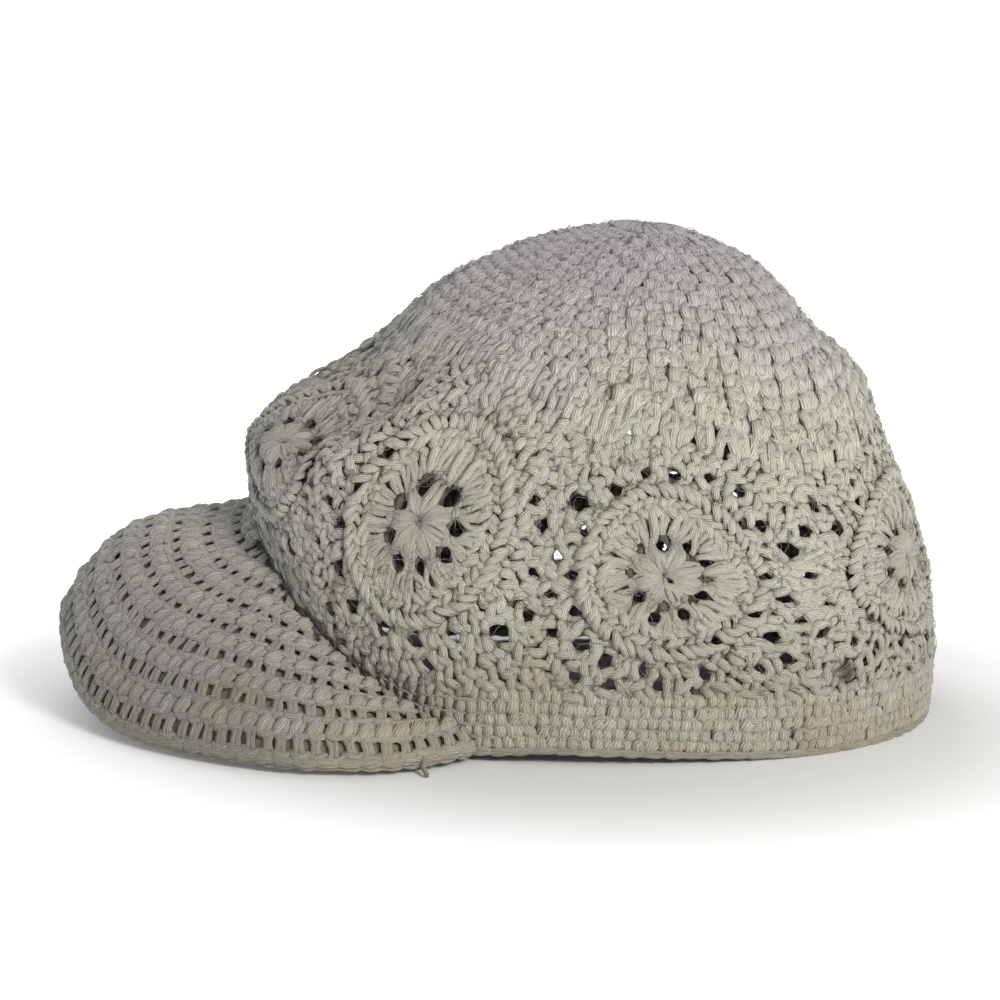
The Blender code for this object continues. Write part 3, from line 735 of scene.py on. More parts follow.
@dataclass
class YarnMesh:
    """Yarn tubes and thin walls gathered as arrays and made one mesh with a map along the yarn."""

    points: list[Array] = field(default_factory=list)
    faces: list[Array] = field(default_factory=list)
    maps: list[Array] = field(default_factory=list)
    finishes: list[Array] = field(default_factory=list)
    tones: list[Array] = field(default_factory=list)
    heights: list[Array] = field(default_factory=list)
    total: int = 0
    wobble: float = 0.00016
    slowest_wobble: float = 0.7
    map_scale: float = 100.0
    map_shift: float = 7.0
    fibre_radius: float = 0.00009
    fibre_lift: tuple[float, float] = (1.1, 1.3)
    wall_tone: float = 0.5
    draw: np.random.Generator = field(default_factory=lambda: np.random.default_rng(5))

    def add_points(self, points: Array, tone: Numbers, height: Numbers) -> None:
        """Add points, each with its tone and its millimetres outside the fabric's middle."""
        self.points.append(points.reshape(-1, 3))
        self.tones.append(np.broadcast_to(tone, points.shape[:-1]).reshape(-1))
        self.heights.append(np.broadcast_to(height, points.shape[:-1]).reshape(-1))
        self.total += len(self.points[-1])

    def add_faces(self, faces: Array, places: Array, finish: int) -> None:
        """Add faces of one finish, by point numbers, with the map place of each corner."""
        self.faces.append(faces)
        self.maps.append(places)
        self.finishes.append(np.full(len(faces), finish))

    def add_wall(self, outer: Array, inner: Array, faces: Array, spots: Array, finishes: tuple[int, int],
                 height: float) -> None:
        """A thin wall: two sheets of the same faces, joined along their free edges.

        An edge is free where no other face runs along it the other way.

        Args:
            outer: Points of the outside.
            inner: The same points on the inside.
            faces: Faces that turn their outside outwards.
            spots: Map place of each point.
            finishes: Finish numbers of the outside and of the inside.
            height: Millimetres that the wall lies outside the fabric's middle.
        """
        size = len(outer)
        first = self.total
        for points, turned, finish in ((outer, faces, finishes[0]), (inner, faces[:, ::-1], finishes[1])):
            self.add_faces(turned + self.total, spots[turned], finish)
            self.add_points(points, self.wall_tone, height)
        pairs = np.stack([faces, np.roll(faces, -1, axis=1)], axis=-1).reshape(-1, 2)
        ahead = pairs[:, 0] * size + pairs[:, 1]
        astern = pairs[:, 1] * size + pairs[:, 0]
        free = pairs[~np.isin(ahead, astern)]
        walls = np.stack([free[:, 1], free[:, 0], free[:, 0] + size, free[:, 1] + size], axis=-1)
        self.add_faces(walls + first, spots[walls % size], finishes[0])

    def add_tubes(self, centre: Array, outward: Array, radius: Numbers, flat: float, tone: Array,
                  lift: Numbers, sides: int = 5) -> None:
        """Tubes along many routes: at each point a flattened ring square to the route.

        A slow sine of its own sways each route sideways and, half as far, outwards.

        Args:
            centre: Routes, of shape (tubes, steps, 3).
            outward: Outward direction of the fabric at each point.
            radius: Half width of the tubes, for each point.
            flat: Their thickness as a share of their width.
            tone: A random number for each tube.
            lift: Metres that each point lies outside the fabric's middle.
            sides: Corners of a ring.
        """
        count, steps = centre.shape[:2]
        side = along_and_beside(centre, outward)[1]
        where = np.linspace(0, 1, steps)
        phase = self.draw.random((4, count, 1))
        sway = np.sin(TURN * ((self.slowest_wobble + phase[0]) * where + phase[1]))
        heave = np.sin(TURN * ((self.slowest_wobble + phase[2]) * where + phase[3]))
        centre = centre + self.wobble * (sway[..., None] * side + 0.5 * heave[..., None] * outward)
        run, side = along_and_beside(centre, outward)
        out = np.cross(side, run)
        turns = TURN * (np.arange(sides) + 0.25) / sides
        wide = np.broadcast_to(radius, (count, steps))[..., None]
        ring = np.cos(turns)[:, None] * side[:, :, None, :] * wide[..., None]
        ring = ring + flat * np.sin(turns)[:, None] * out[:, :, None, :] * wide[..., None]
        height = np.broadcast_to(lift, (count, steps))[..., None] + flat * np.sin(turns) * wide
        number = np.arange(count * steps * sides).reshape(count, steps, sides)
        following = np.roll(number, -1, axis=2)
        quads = np.stack([number[:, :-1], number[:, 1:], following[:, 1:], following[:, :-1]], axis=-1)
        lengths = np.linalg.norm(np.diff(centre, axis=1), axis=-1)
        reach = np.concatenate([np.zeros((count, 1)), np.cumsum(lengths, axis=1)], axis=1) * self.map_scale
        reach = reach + self.map_shift * tone[:, None]
        around = np.arange(sides) / sides
        grid = np.ones((count, steps - 1, sides))
        places = np.stack([np.stack([reach[:, i:steps - 1 + i, None] * grid, (around + j / sides) * grid], -1)
                           for i, j in ((0, 0), (1, 0), (1, 1), (0, 1))], axis=-2)
        caps = np.concatenate([number[:, 0, :], number[:, -1, ::-1]])
        cap_reach = np.concatenate([reach[:, :1], reach[:, -1:]]) * np.ones((1, sides))
        cap_map = np.stack([cap_reach, np.broadcast_to(around, cap_reach.shape)], axis=-1)
        self.add_faces(quads.reshape(-1, 4) + self.total, places.reshape(-1, 4, 2), 0)
        self.add_faces(caps + self.total, cap_map, 0)
        self.add_points(centre[:, :, None, :] + ring, tone[:, None, None], height / MM)

    def add_fuzz(self, place: Callable[..., tuple[Array, Array]], first: Array, second: Array,
                 span: tuple[float, float], reach: float) -> None:
        """Stray fibres: fine arcs that leave the yarn, rise and come back, each in its own direction.

        Args:
            place: Gives points and normals for two surface numbers and an offset.
            first: The first surface number of each fibre's middle.
            second: The second.
            span: How far the first and the second change over a metre.
            reach: Greatest half length in metres.
        """
        count = len(first)
        where = np.linspace(-1, 1, 4)
        turn = self.draw.random((count, 1)) * TURN
        half = reach * (0.35 + 0.65 * self.draw.random((count, 1)))
        bend = self.draw.normal(0, 0.5, (count, 1)) * (1 - where ** 2)
        x = half * (where * np.cos(turn) - bend * np.sin(turn))
        y = half * (where * np.sin(turn) + bend * np.cos(turn))
        start, most = self.fibre_lift
        rise = (start + most * self.draw.random((count, 1)) * (1 - where ** 2)) * MM
        centre, normal = place(first[:, None] + x * span[0], second[:, None] + y * span[1], rise)
        self.add_tubes(centre, normal, self.fibre_radius, 1.0, self.draw.random(count), MM, 3)

    def add_loose(self, end: LooseEnd, outward: Spot) -> None:
        """A free stretch of yarn on a smooth curve through its points."""
        centre = smooth_route(end.points, 10)[None]
        out = np.broadcast_to(np.array(outward), centre.shape)
        self.add_tubes(centre, out, end.thick * MM, 0.95, np.array([0.3]), 0.0)

    def build(self, name: str, finishes: list[Material]) -> Piece:
        """Make the mesh object at the origin."""
        mesh = bpy.data.meshes.new(name)
        points = np.concatenate(self.points)
        loops = np.concatenate([group.reshape(-1) for group in self.faces])
        sizes = np.concatenate([np.full(len(group), group.shape[1]) for group in self.faces])
        starts = np.concatenate([[0], np.cumsum(sizes)[:-1]])
        mesh.vertices.add(len(points))
        mesh.vertices.foreach_set("co", points.astype(np.float32).reshape(-1))
        mesh.loops.add(len(loops))
        mesh.loops.foreach_set("vertex_index", loops.astype(np.int32))
        mesh.polygons.add(len(sizes))
        mesh.polygons.foreach_set("loop_start", starts.astype(np.int32))
        mesh.polygons.foreach_set("material_index", np.concatenate(self.finishes).astype(np.int32))
        mesh.update(calc_edges=True)
        layer = mesh.uv_layers.new(name="yarn")
        uv = np.concatenate([group.reshape(-1) for group in self.maps])
        layer.data.foreach_set("uv", uv.astype(np.float32))
        for label, values in (("tone", self.tones), ("height", self.heights)):
            attribute = mesh.attributes.new(label, "FLOAT", "POINT")
            attribute.data.foreach_set("value", np.concatenate(values).astype(np.float32))
        mesh.shade_smooth()
        for finish in finishes:
            mesh.materials.append(finish)
        return add_object(name, mesh)


def math_node(operation: str, flipped: bool = False) -> Callable[..., "Socket"]:
    """A method that adds a Math node of its socket and any other value, in turned order if flipped."""

    def method(*values: "Socket | float") -> "Socket":
        """The node's result."""
        inputs = dict(enumerate(values[::-1] if flipped else values))
        return values[0].work.node("ShaderNodeMath", {"operation": operation}, inputs)

    return method


@dataclass
class Socket:
    """A shader socket whose arithmetic adds Math nodes."""

    work: "NodeWork"
    link: bpy.types.NodeSocket

    __add__ = __radd__ = math_node("ADD")
    __mul__ = __rmul__ = math_node("MULTIPLY")
    __sub__ = math_node("SUBTRACT")
    __rsub__ = math_node("SUBTRACT", flipped=True)
    __truediv__ = math_node("DIVIDE")
    __pow__ = math_node("POWER")
    sin = math_node("SINE")
    abs = math_node("ABSOLUTE")

    def ramp(self, low: float, high: float) -> "Socket":
        """0 below low, 1 above high, and a smooth step between."""
        settings = {"interpolation_type": "SMOOTHSTEP"}
        return self.work.node("ShaderNodeMapRange", settings, {0: self, 1: low, 2: high, 3: 0.0, 4: 1.0})


class NodeWork:
    """The node tree of a new material or world, filled by node calls."""

    def __init__(self, name: str, kind: str = "materials") -> None:
        """A new material with its Principled shader, or one of worlds with its Background."""
        self.owner = getattr(bpy.data, kind).new(name)
        self.owner.use_nodes = True
        self.tree = self.owner.node_tree
        self.shader = self.tree.nodes["Background" if kind == "worlds" else "Principled BSDF"]

    def node(self, kind: str, settings: dict[str, object], inputs: dict, output: int | str = 0) -> Socket:
        """Add a node.

        Args:
            kind: The node's type.
            settings: Its properties, set first.
            inputs: A value or a Socket for each input, by name or index.
            output: Which output to hand back.

        Returns:
            That output.
        """
        node = self.tree.nodes.new(kind)
        for name, value in settings.items():
            setattr(node, name, value)
        for key, value in inputs.items():
            self.join(node.inputs[key], value)
        return Socket(self, node.outputs[output])

    def join(self, socket: bpy.types.NodeSocket, value: "Socket | float | tuple") -> None:
        """Link a Socket to an input, or set the input's value."""
        if isinstance(value, Socket):
            self.tree.links.new(value.link, socket)
        else:
            socket.default_value = value

    def blend(self, share: "Socket | float", first: "Socket | tuple", second: "Socket | tuple",
              how: str = "MIX") -> Socket:
        """A colour between two colours."""
        settings = {"data_type": "RGBA", "blend_type": how}
        return self.node("ShaderNodeMix", settings, {0: share, 6: first, 7: second}, 2)

    def noise(self, where: Socket, scale: float, detail: float = 2.0) -> Socket:
        """Noise from 0 to 1 about the middle."""
        return self.node("ShaderNodeTexNoise", {}, {"Vector": where, "Scale": scale, "Detail": detail})

    def attribute(self, name: str) -> Socket:
        """A number stored on the mesh."""
        return self.node("ShaderNodeAttribute", {"attribute_name": name}, {}, "Fac")

    def spot(self) -> Socket:
        """The place on the object, in metres."""
        return self.node("ShaderNodeTexCoord", {}, {}, "Object")

    def split(self, vector: Socket) -> tuple[Socket, Socket, Socket]:
        """A vector's three numbers."""
        first = self.node("ShaderNodeSeparateXYZ", {}, {0: vector})
        outputs = first.link.node.outputs
        return first, Socket(self, outputs[1]), Socket(self, outputs[2])

    def yarn_map(self) -> tuple[Socket, Socket]:
        """Centimetres along the yarn and turns round it, or stitches and rows of the fabric behind it."""
        return self.split(self.node("ShaderNodeUVMap", {"uv_map": "yarn"}, {}))[:2]

    def distance(self, spot: Socket, middle: Spot) -> Socket:
        """Metres from a fixed place."""
        return self.node("ShaderNodeVectorMath", {"operation": "DISTANCE"}, {0: spot, 1: middle}, "Value")

    def hold(self, **values: float | Colour) -> None:
        """Set constants on the shader's own sockets, named with underscores for spaces."""
        for name, value in values.items():
            self.shader.inputs[name.replace("_", " ")].default_value = value

    def finish(self, colour: Socket, roughness: "Socket | float", height: Socket, depth: float,
               strength: float = 1.0) -> Material:
        """Join colour, roughness and bump to the shader."""
        self.join(self.shader.inputs["Base Color"], colour)
        self.join(self.shader.inputs["Roughness"], roughness)
        bump = self.node("ShaderNodeBump", {}, {"Strength": strength, "Distance": depth, "Height": height})
        self.join(self.shader.inputs["Normal"], bump)
        return self.owner


@dataclass(frozen=True)
class CottonYarn:
    """Soft ecru cotton of several plies: strands that wind slowly round the yarn, dull and fuzzy.

    Scales are per metre, heights and places in metres, and the turn length in centimetres.
    """

    name: str
    light: Colour = linear(196, 194, 178)
    # painted shade: the colour of grooves between plies and of yarn deep in the fabric
    groove_shade: Colour = linear(106, 103, 86)
    # painted light: a cool skylight tint, high up and on the shaded front
    painted_skylight_tint: Colour = linear(188, 182, 190)
    warm: Colour = linear(190, 178, 150)
    soil: Colour = linear(66, 44, 24)
    plies: float = 11.0
    turn_length: float = 1.4
    wander: float = 11.0
    wander_scale: float = 520.0
    fibre_scale: tuple[float, float] = (8.0, 26.0)
    grain_scale: float = 2400.0
    patch_scale: float = 26.0
    stain_scale: float = 60.0
    depth: float = 0.00034
    skylight_heights: tuple[float, float] = (0.085, 0.135)
    skylight_most: float = 0.80
    front_shade_places: tuple[float, float] = (-0.075, -0.030)
    front_skylight: float = 0.35
    warm_height: float = 0.032
    warm_most: float = 0.55
    deep_heights: tuple[float, float] = (-1.9, 0.4)
    groove_shade_most: float = 0.50
    tones: tuple[Spot, ...] = ((0.16, 0.70, 0.57), (0.16, 0.70, 0.57), (0.14, 0.70, 0.58))
    # painted shade: darker low down and on the peak's top
    low_heights: tuple[float, float] = (0.016, 0.050)
    low_shade: float = 0.17
    peak_heights: tuple[float, float] = (0.044, 0.060)
    peak_shade: float = 0.17
    soil_place: Spot = (0.0663, 0.0922, 0.0226)
    soil_reach: float = 0.0048
    soil_core: float = 0.30
    soil_most: float = 0.96

    def make(self) -> Material:
        """Build the material.

        The ply pattern is a sine of the turns round the yarn and the length along it. Grooves are
        painted darker as shade, and so are the parts of the yarn that lie deep in the fabric.
        """
        work = NodeWork(self.name)
        spot = work.spot()
        length, around = work.yarn_map()
        wander = work.noise(spot, self.wander_scale) - 0.5
        turns = around * self.plies + length / self.turn_length
        ply = (turns * TURN + wander * self.wander).sin() * 0.5 + 0.5
        fibre_place = {0: length * self.fibre_scale[0], 1: around * self.fibre_scale[1]}
        fibre = work.noise(work.node("ShaderNodeCombineXYZ", {}, fibre_place), 1.0, 3.0)
        grain = work.noise(spot, self.grain_scale)
        _, back, up = work.split(spot)
        patches = work.noise(spot, self.patch_scale, 3.0) - 0.5
        # share of painted shade at the front: a cool shade tint there, and darker on the peak
        front_shade_share = 1.0 - (back + patches * 0.06).ramp(*self.front_shade_places)
        # painted shade: yarn lying deep in the fabric is darker
        deep_shade = (work.attribute("height") + (ply - 0.5) * 0.4).ramp(*self.deep_heights)
        shaded = work.blend(deep_shade, self.groove_shade, self._tinted(work, spot, up, patches, front_shade_share))
        # painted shade in the grooves between plies
        groove_shaded = work.blend((1.0 - ply) ** 2.0 * self.groove_shade_most, shaded, self.groove_shade)
        tone = work.attribute("tone")
        channels = {i: tone * a + fibre * b + c for i, (a, b, c) in enumerate(self.tones)}
        toned = work.blend(1.0, groove_shaded, work.node("ShaderNodeCombineXYZ", {}, channels), "MULTIPLY")
        # painted shade low down and on the peak's top, blended towards black
        shade = (1.0 - up.ramp(*self.low_heights)) * self.low_shade
        shade = shade + front_shade_share * (1.0 - up.ramp(*self.peak_heights)) * self.peak_shade
        toned = work.blend(shade, toned, BLACK)
        away = work.distance(spot, self.soil_place) + (grain - 0.5) * 0.003
        soil_share = 1.0 - away.ramp(self.soil_core * self.soil_reach, self.soil_reach)
        soiled = work.blend(soil_share * self.soil_most, toned, self.soil)
        relief = ply * 0.62 + fibre * 0.50 + grain * 0.18
        work.hold(Sheen_Weight=0.25, Sheen_Roughness=0.6, Specular_IOR_Level=0.25)
        return work.finish(soiled, 0.86 - fibre * 0.12, relief, self.depth)

    def _tinted(self, work: NodeWork, spot: Socket, up: Socket, patches: Socket,
                front_shade_share: Socket) -> Socket:
        """The yarn's colour: a painted cool skylight tint high up and on the shaded front, warmer in patches
        near the rim.
        """
        # painted cool skylight high up, and a painted cool shade tint towards the front
        skylight_share = (up + patches * 0.05).ramp(*self.skylight_heights)
        skylit = work.blend(skylight_share * self.skylight_most, self.light, self.painted_skylight_tint)
        skylit = work.blend(front_shade_share * self.front_skylight, skylit, self.painted_skylight_tint)
        warm_share = (work.noise(spot, self.stain_scale) + (self.warm_height - up) * 7.0).ramp(0.52, 0.80)
        return work.blend(warm_share * self.warm_most, skylit, self.warm)


@dataclass(frozen=True)
class BackingCotton:
    """The fabric behind the stitches: small loops, as wide and high as the map's stitches and rows."""

    name: str
    light: Colour
    dark: Colour
    depth: float = 0.0006
    wander_scale: float = 160.0
    fibre_scale: float = 1500.0
    plies: float = 9.0

    def make(self) -> Material:
        """Build the material: the product of two rectified sines, one for each stitch and row, painted darker
        between the loops as shade.
        """
        work = NodeWork(self.name)
        spot = work.spot()
        across, up = work.yarn_map()
        wander = work.noise(spot, self.wander_scale) - 0.5
        stitch = ((across * 2.0 + wander * 0.5) * math.pi).sin().abs()
        row = ((up + wander * 0.3) * math.pi).sin().abs()
        loops = stitch * row
        strands = ((across * self.plies + up * 2.0 + wander) * TURN).sin() * 0.5 + 0.5
        fibre = work.noise(spot, self.fibre_scale, 3.0)
        # painted shade: darker between the loops
        colour = work.blend((loops + strands * 0.15).ramp(0.05, 0.75), self.dark, self.light)
        colour = work.blend(fibre * 0.25, colour, self.dark)
        work.hold(Sheen_Weight=0.2, Specular_IOR_Level=0.2)
        return work.finish(colour, 0.9 - fibre * 0.1, loops + strands * 0.2 + fibre * 0.2, self.depth)


@dataclass(frozen=True)
class InsertPlastic:
    """The peak's stiffener: smooth grey-green sheet, faintly clouded and scuffed."""

    name: str = "insert_sheet"
    base: Colour = linear(122, 122, 100)
    pale: Colour = linear(136, 135, 114)
    cloud_scale: float = 55.0
    scuff_scale: float = 700.0
    depth: float = 0.0001

    def make(self) -> Material:
        """Build the material: clouded colour and fine scuffs in the relief."""
        work = NodeWork(self.name)
        spot = work.spot()
        clouds = work.noise(spot, self.cloud_scale, 3.0)
        scuffs = work.noise(spot, self.scuff_scale, 4.0)
        colour = work.blend(clouds.ramp(0.35, 0.7), self.base, self.pale)
        work.hold(Specular_IOR_Level=0.35)
        return work.finish(colour, 0.45 + scuffs * 0.25, scuffs, self.depth, 0.6)


@dataclass(frozen=True)
class FloorPaint:
    """The studio floor: plain, pale and matt, with a painted glow that grows away from the cap."""

    name: str = "floor_paint"
    colour: Colour = linear(250, 250, 250)
    dust: Colour = linear(238, 238, 238)
    grain_scale: float = 40.0
    depth: float = 0.0001
    glow: float = 0.82
    glow_middle: Spot = (0.0, 0.02, 0.0)
    near_share: float = 0.756
    near_reaches: tuple[float, float] = (0.08, 0.24)
    far_reaches: tuple[float, float] = (0.35, 1.1)

    def make(self) -> Material:
        """Build the material: an even coat with a barely rough grain, and a glow in two smooth steps."""
        work = NodeWork(self.name)
        spot = work.spot()
        grain = work.noise(spot, self.grain_scale)
        colour = work.blend(grain * 0.04, self.colour, self.dust)
        away = work.distance(spot, self.glow_middle)
        # painted light: the floor glows, more the further it lies from the cap
        glow = away.ramp(*self.near_reaches) * self.near_share
        glow = glow + away.ramp(*self.far_reaches) * (1.0 - self.near_share)
        work.join(work.shader.inputs["Emission Color"], work.blend(glow, BLACK, WHITE))
        work.hold(Emission_Strength=self.glow)
        return work.finish(colour, 0.9, grain, self.depth, 0.2)


def make_finishes() -> tuple[list[Material], list[Material]]:
    """The finishes of the close fabric and of the openwork: yarn, then the backing's outside, darker than the
    yarn as painted shade and darkest on the openwork, and its inside.
    """
    yarn = CottonYarn("cotton_yarn").make()
    # painted shade: the backing's outside is darker than the yarn, and darker still behind the openwork
    deep_shade = BackingCotton("cotton_deep_shade", linear(176, 172, 156), linear(120, 116, 98)).make()
    shade = BackingCotton("cotton_shade", linear(112, 108, 92), linear(58, 55, 43)).make()
    inner = BackingCotton("cotton_inner", linear(196, 192, 176), linear(120, 116, 100)).make()
    return [yarn, deep_shade, inner], [yarn, shade, inner]


@dataclass
class Round:
    """One closed round of stitches between two shares of the profile."""

    form: CapForm
    low: Numbers
    high: Numbers
    pitch: float
    samples: int = 241
    unevenness: float = 1.0
    ends: float = 0.72

    def __post_init__(self) -> None:
        """Measure the ring half way up the round, and count its stitches."""
        self.turns = np.linspace(0, TURN, self.samples)
        self.low_table = np.broadcast_to(self.low, self.turns.shape)
        self.high_table = np.broadcast_to(self.high, self.turns.shape)
        middle = (self.low_table + self.high_table) / 2
        self.reach = lengths_along(self.form.place(self.turns, middle, 0.0)[0])
        self.count = max(6, round(self.reach[-1] / self.pitch))

    def squeeze(self, angle: Array) -> Array:
        """Height of the round at an angle as a share of its greatest, and no less than two fifths."""
        height = self.high_table - self.low_table
        return np.clip(np.interp(angle % TURN, self.turns, height) / height.max(), 0.4, 1.0)

    def lay(self, across: Array, up: Array) -> tuple[Array, Array]:
        """Angle and share of the profile of places given in stitches round and rows up."""
        share = across / self.count
        whole = np.floor(share)
        angle = np.interp((share - whole) * self.reach[-1], self.reach, self.turns) + TURN * whole
        wrapped = angle % TURN
        low = np.interp(wrapped, self.turns, self.low_table)
        high = np.interp(wrapped, self.turns, self.high_table)
        return angle, low + (high - low) * up


def tapered(steps: int, ends: float) -> Array:
    """Thickness along a strand: whole in its middle and thinner at both ends, by a sine."""
    where = np.linspace(0, 1, steps)
    return ends + (1 - ends) * np.sin(math.pi * where) ** 0.6


@dataclass
class Hand:
    """The small unevenness of handwork, drawn in a fixed order."""

    seed: int
    sway: float = 0.06
    rise: float = 0.05
    lean: float = 0.10
    proud: float = 0.14
    thick: float = 0.08

    def __post_init__(self) -> None:
        """Start the drawing."""
        self.draw = np.random.default_rng(self.seed)

    def stray(self, spread: float, count: int) -> Array:
        """A normal draw for each of a column of strands."""
        return self.draw.normal(0, spread, (count, 1))

    def uneven(self, count: int) -> tuple[Array, ...]:
        """For each stitch: shift across and up, lean, proud millimetres and share of thickness more."""
        return tuple(self.stray(spread, count)
                     for spread in (self.sway, self.rise, self.lean, self.proud, self.thick))


def work_row(mesh: YarnMesh, row: "Round | PeakRow", stitch: Stitch, hand: Hand, slant: float = 0.0,
             gaps: Gaps | None = None, phase: float = 0.0, settle: Settle | None = None) -> None:
    """Work one row or round of stitches into a mesh.

    Args:
        mesh: The mesh that takes the strands.
        row: The row or round.
        stitch: The kind of stitch.
        hand: Draws the unevenness.
        slant: Pitches that a stitch leans over its height.
        gaps: Gaps to go round.
        phase: Stitches that the row starts further on.
        settle: Moves the finished routes, given their angles and shares.
    """
    across, rise, lean, proud, thick = hand.uneven(row.count)
    number = np.arange(row.count)[:, None] + phase
    for strand, route in stitch.strands():
        x = number + across + route[:, 0] + (slant + lean) * route[:, 1]
        first, second = row.lay(x, route[:, 1] + rise)
        radius = strand.radius * MM
        if gaps is not None:
            first, second = gaps.part(first, second, radius)
        squeeze = row.squeeze(first)
        offset = (route[:, 2] + row.unevenness * proud) * MM * squeeze
        centre, normal = row.form.place(first, second, offset)
        if settle is not None:
            centre = settle(centre, first, second)
        radii = radius * (1 + thick) * tapered(strand.steps, row.ends) * squeeze
        mesh.add_tubes(centre, normal, radii, strand.flat, hand.draw.random(row.count), offset)


def sheet_faces(rows: int, columns: int, closed: bool) -> Array:
    """Quads of a grid, closed round in the second direction or not."""
    number = np.arange(rows * columns).reshape(rows, columns)
    following = np.roll(number, -1, axis=1)
    quads = np.stack([number[:-1], following[:-1], following[1:], number[1:]], axis=-1)
    return (quads if closed else quads[:, :-1]).reshape(-1, 4)


def add_backing(mesh: YarnMesh, form: CapForm, angle: Array, along: Array, faces: Array,
                offsets: tuple[float, float]) -> None:
    """A thin wall behind the stitches, its outside darkened as painted shade and its inside light.

    Args:
        mesh: The mesh that takes it.
        form: The cap's form.
        angle: Angles of its points.
        along: Their shares of the profile.
        faces: Faces that turn their outside outwards.
        offsets: Millimetres of the outside and of the inside from the fabric's middle.
    """
    spots = np.stack([angle * form.mean_radius / BACKING_STITCH, along * form.profile / BACKING_ROW], axis=-1)
    outer, inner = (form.place(angle, along, offset * MM)[0].reshape(-1, 3) for offset in offsets)
    mesh.add_wall(outer, inner, faces, spots.reshape(-1, 2), (1, 2), -1.0)


@dataclass
class Crown:
    """The close dome: a joining round of tall stitches, then rounds of close stitches to the pole."""

    form: CapForm
    finishes: list[Material]
    gaps: Gaps
    joining_height: float = 0.0086
    joining_pitch: float = 0.0052
    joining_slant: float = 0.05
    rounds: int = 17
    pitch: float = 0.0058
    slant: float = 0.10
    close_up: float = 0.15
    close_up_rounds: int = 7
    phase: float = 0.37
    stop: float = 0.012
    spokes: int = 11
    spoke_half: float = 0.14
    spoke_turn: float = 0.25
    pole: float = 0.999
    spoke_past: float = 0.02
    backing_columns: int = 96
    backing_rows: int = 22
    backing: tuple[float, float] = (-0.25, -1.6)
    fibres: int = 1200
    fibre_reach: float = 0.003

    def build(self) -> Piece:
        """Work every round and the backing behind them, the rounds' pitch closing up on the way."""
        form = self.form
        mesh = YarnMesh()
        hand = Hand(11)
        base = form.panel_top / form.profile
        first = base + self.joining_height / form.profile
        joining = Round(form, base, first, self.joining_pitch)
        work_row(mesh, joining, Stitch.TALL, hand, self.joining_slant, self.gaps)
        levels = np.linspace(first, 1 - self.stop / form.profile, self.rounds + 1)
        for index, (low, high) in enumerate(zip(levels[:-1], levels[1:])):
            pitch = self.pitch * (1 - self.close_up * min(index / self.close_up_rounds, 1.0))
            work_row(mesh, Round(form, low, high, pitch), Stitch.CLOSE, hand, self.slant,
                     phase=self.phase * index)
        self._close_pole(mesh, hand, levels[-1])
        angles = np.linspace(0, TURN, self.backing_columns, endpoint=False)
        angle, along = np.meshgrid(angles, np.linspace(first, 0.998, self.backing_rows))
        faces = sheet_faces(self.backing_rows, self.backing_columns, True)
        add_backing(mesh, form, angle, along, faces, self.backing)
        height = 1 - (1 - base) * np.sqrt(hand.draw.random(self.fibres))
        mesh.add_fuzz(form.place, hand.draw.random(self.fibres) * TURN, height,
                      (1 / form.mean_radius, 1 / form.profile), self.fibre_reach)
        return mesh.build("crown_crochet", self.finishes)

    def _close_pole(self, mesh: YarnMesh, hand: Hand, level: float) -> None:
        """The first ring of the crown: pairs of strands that run out from the pole like spokes."""
        spokes = self.spokes
        bearing = TURN * np.arange(spokes)[:, None] / spokes
        where = np.linspace(0, 1, 6)
        for side in (-self.spoke_half, self.spoke_half):
            angle = bearing + side + hand.stray(0.03, spokes) + self.spoke_turn * where
            along = self.pole + (level - self.spoke_past - self.pole) * where
            offset = (0.2 + 0.7 * np.sin(math.pi * where)) * MM
            centre, normal = self.form.place(angle, along, offset)
            radius = (0.55 + 1.35 * where) * MM
            mesh.add_tubes(centre, normal, radius, 0.75, hand.draw.random(spokes), offset)


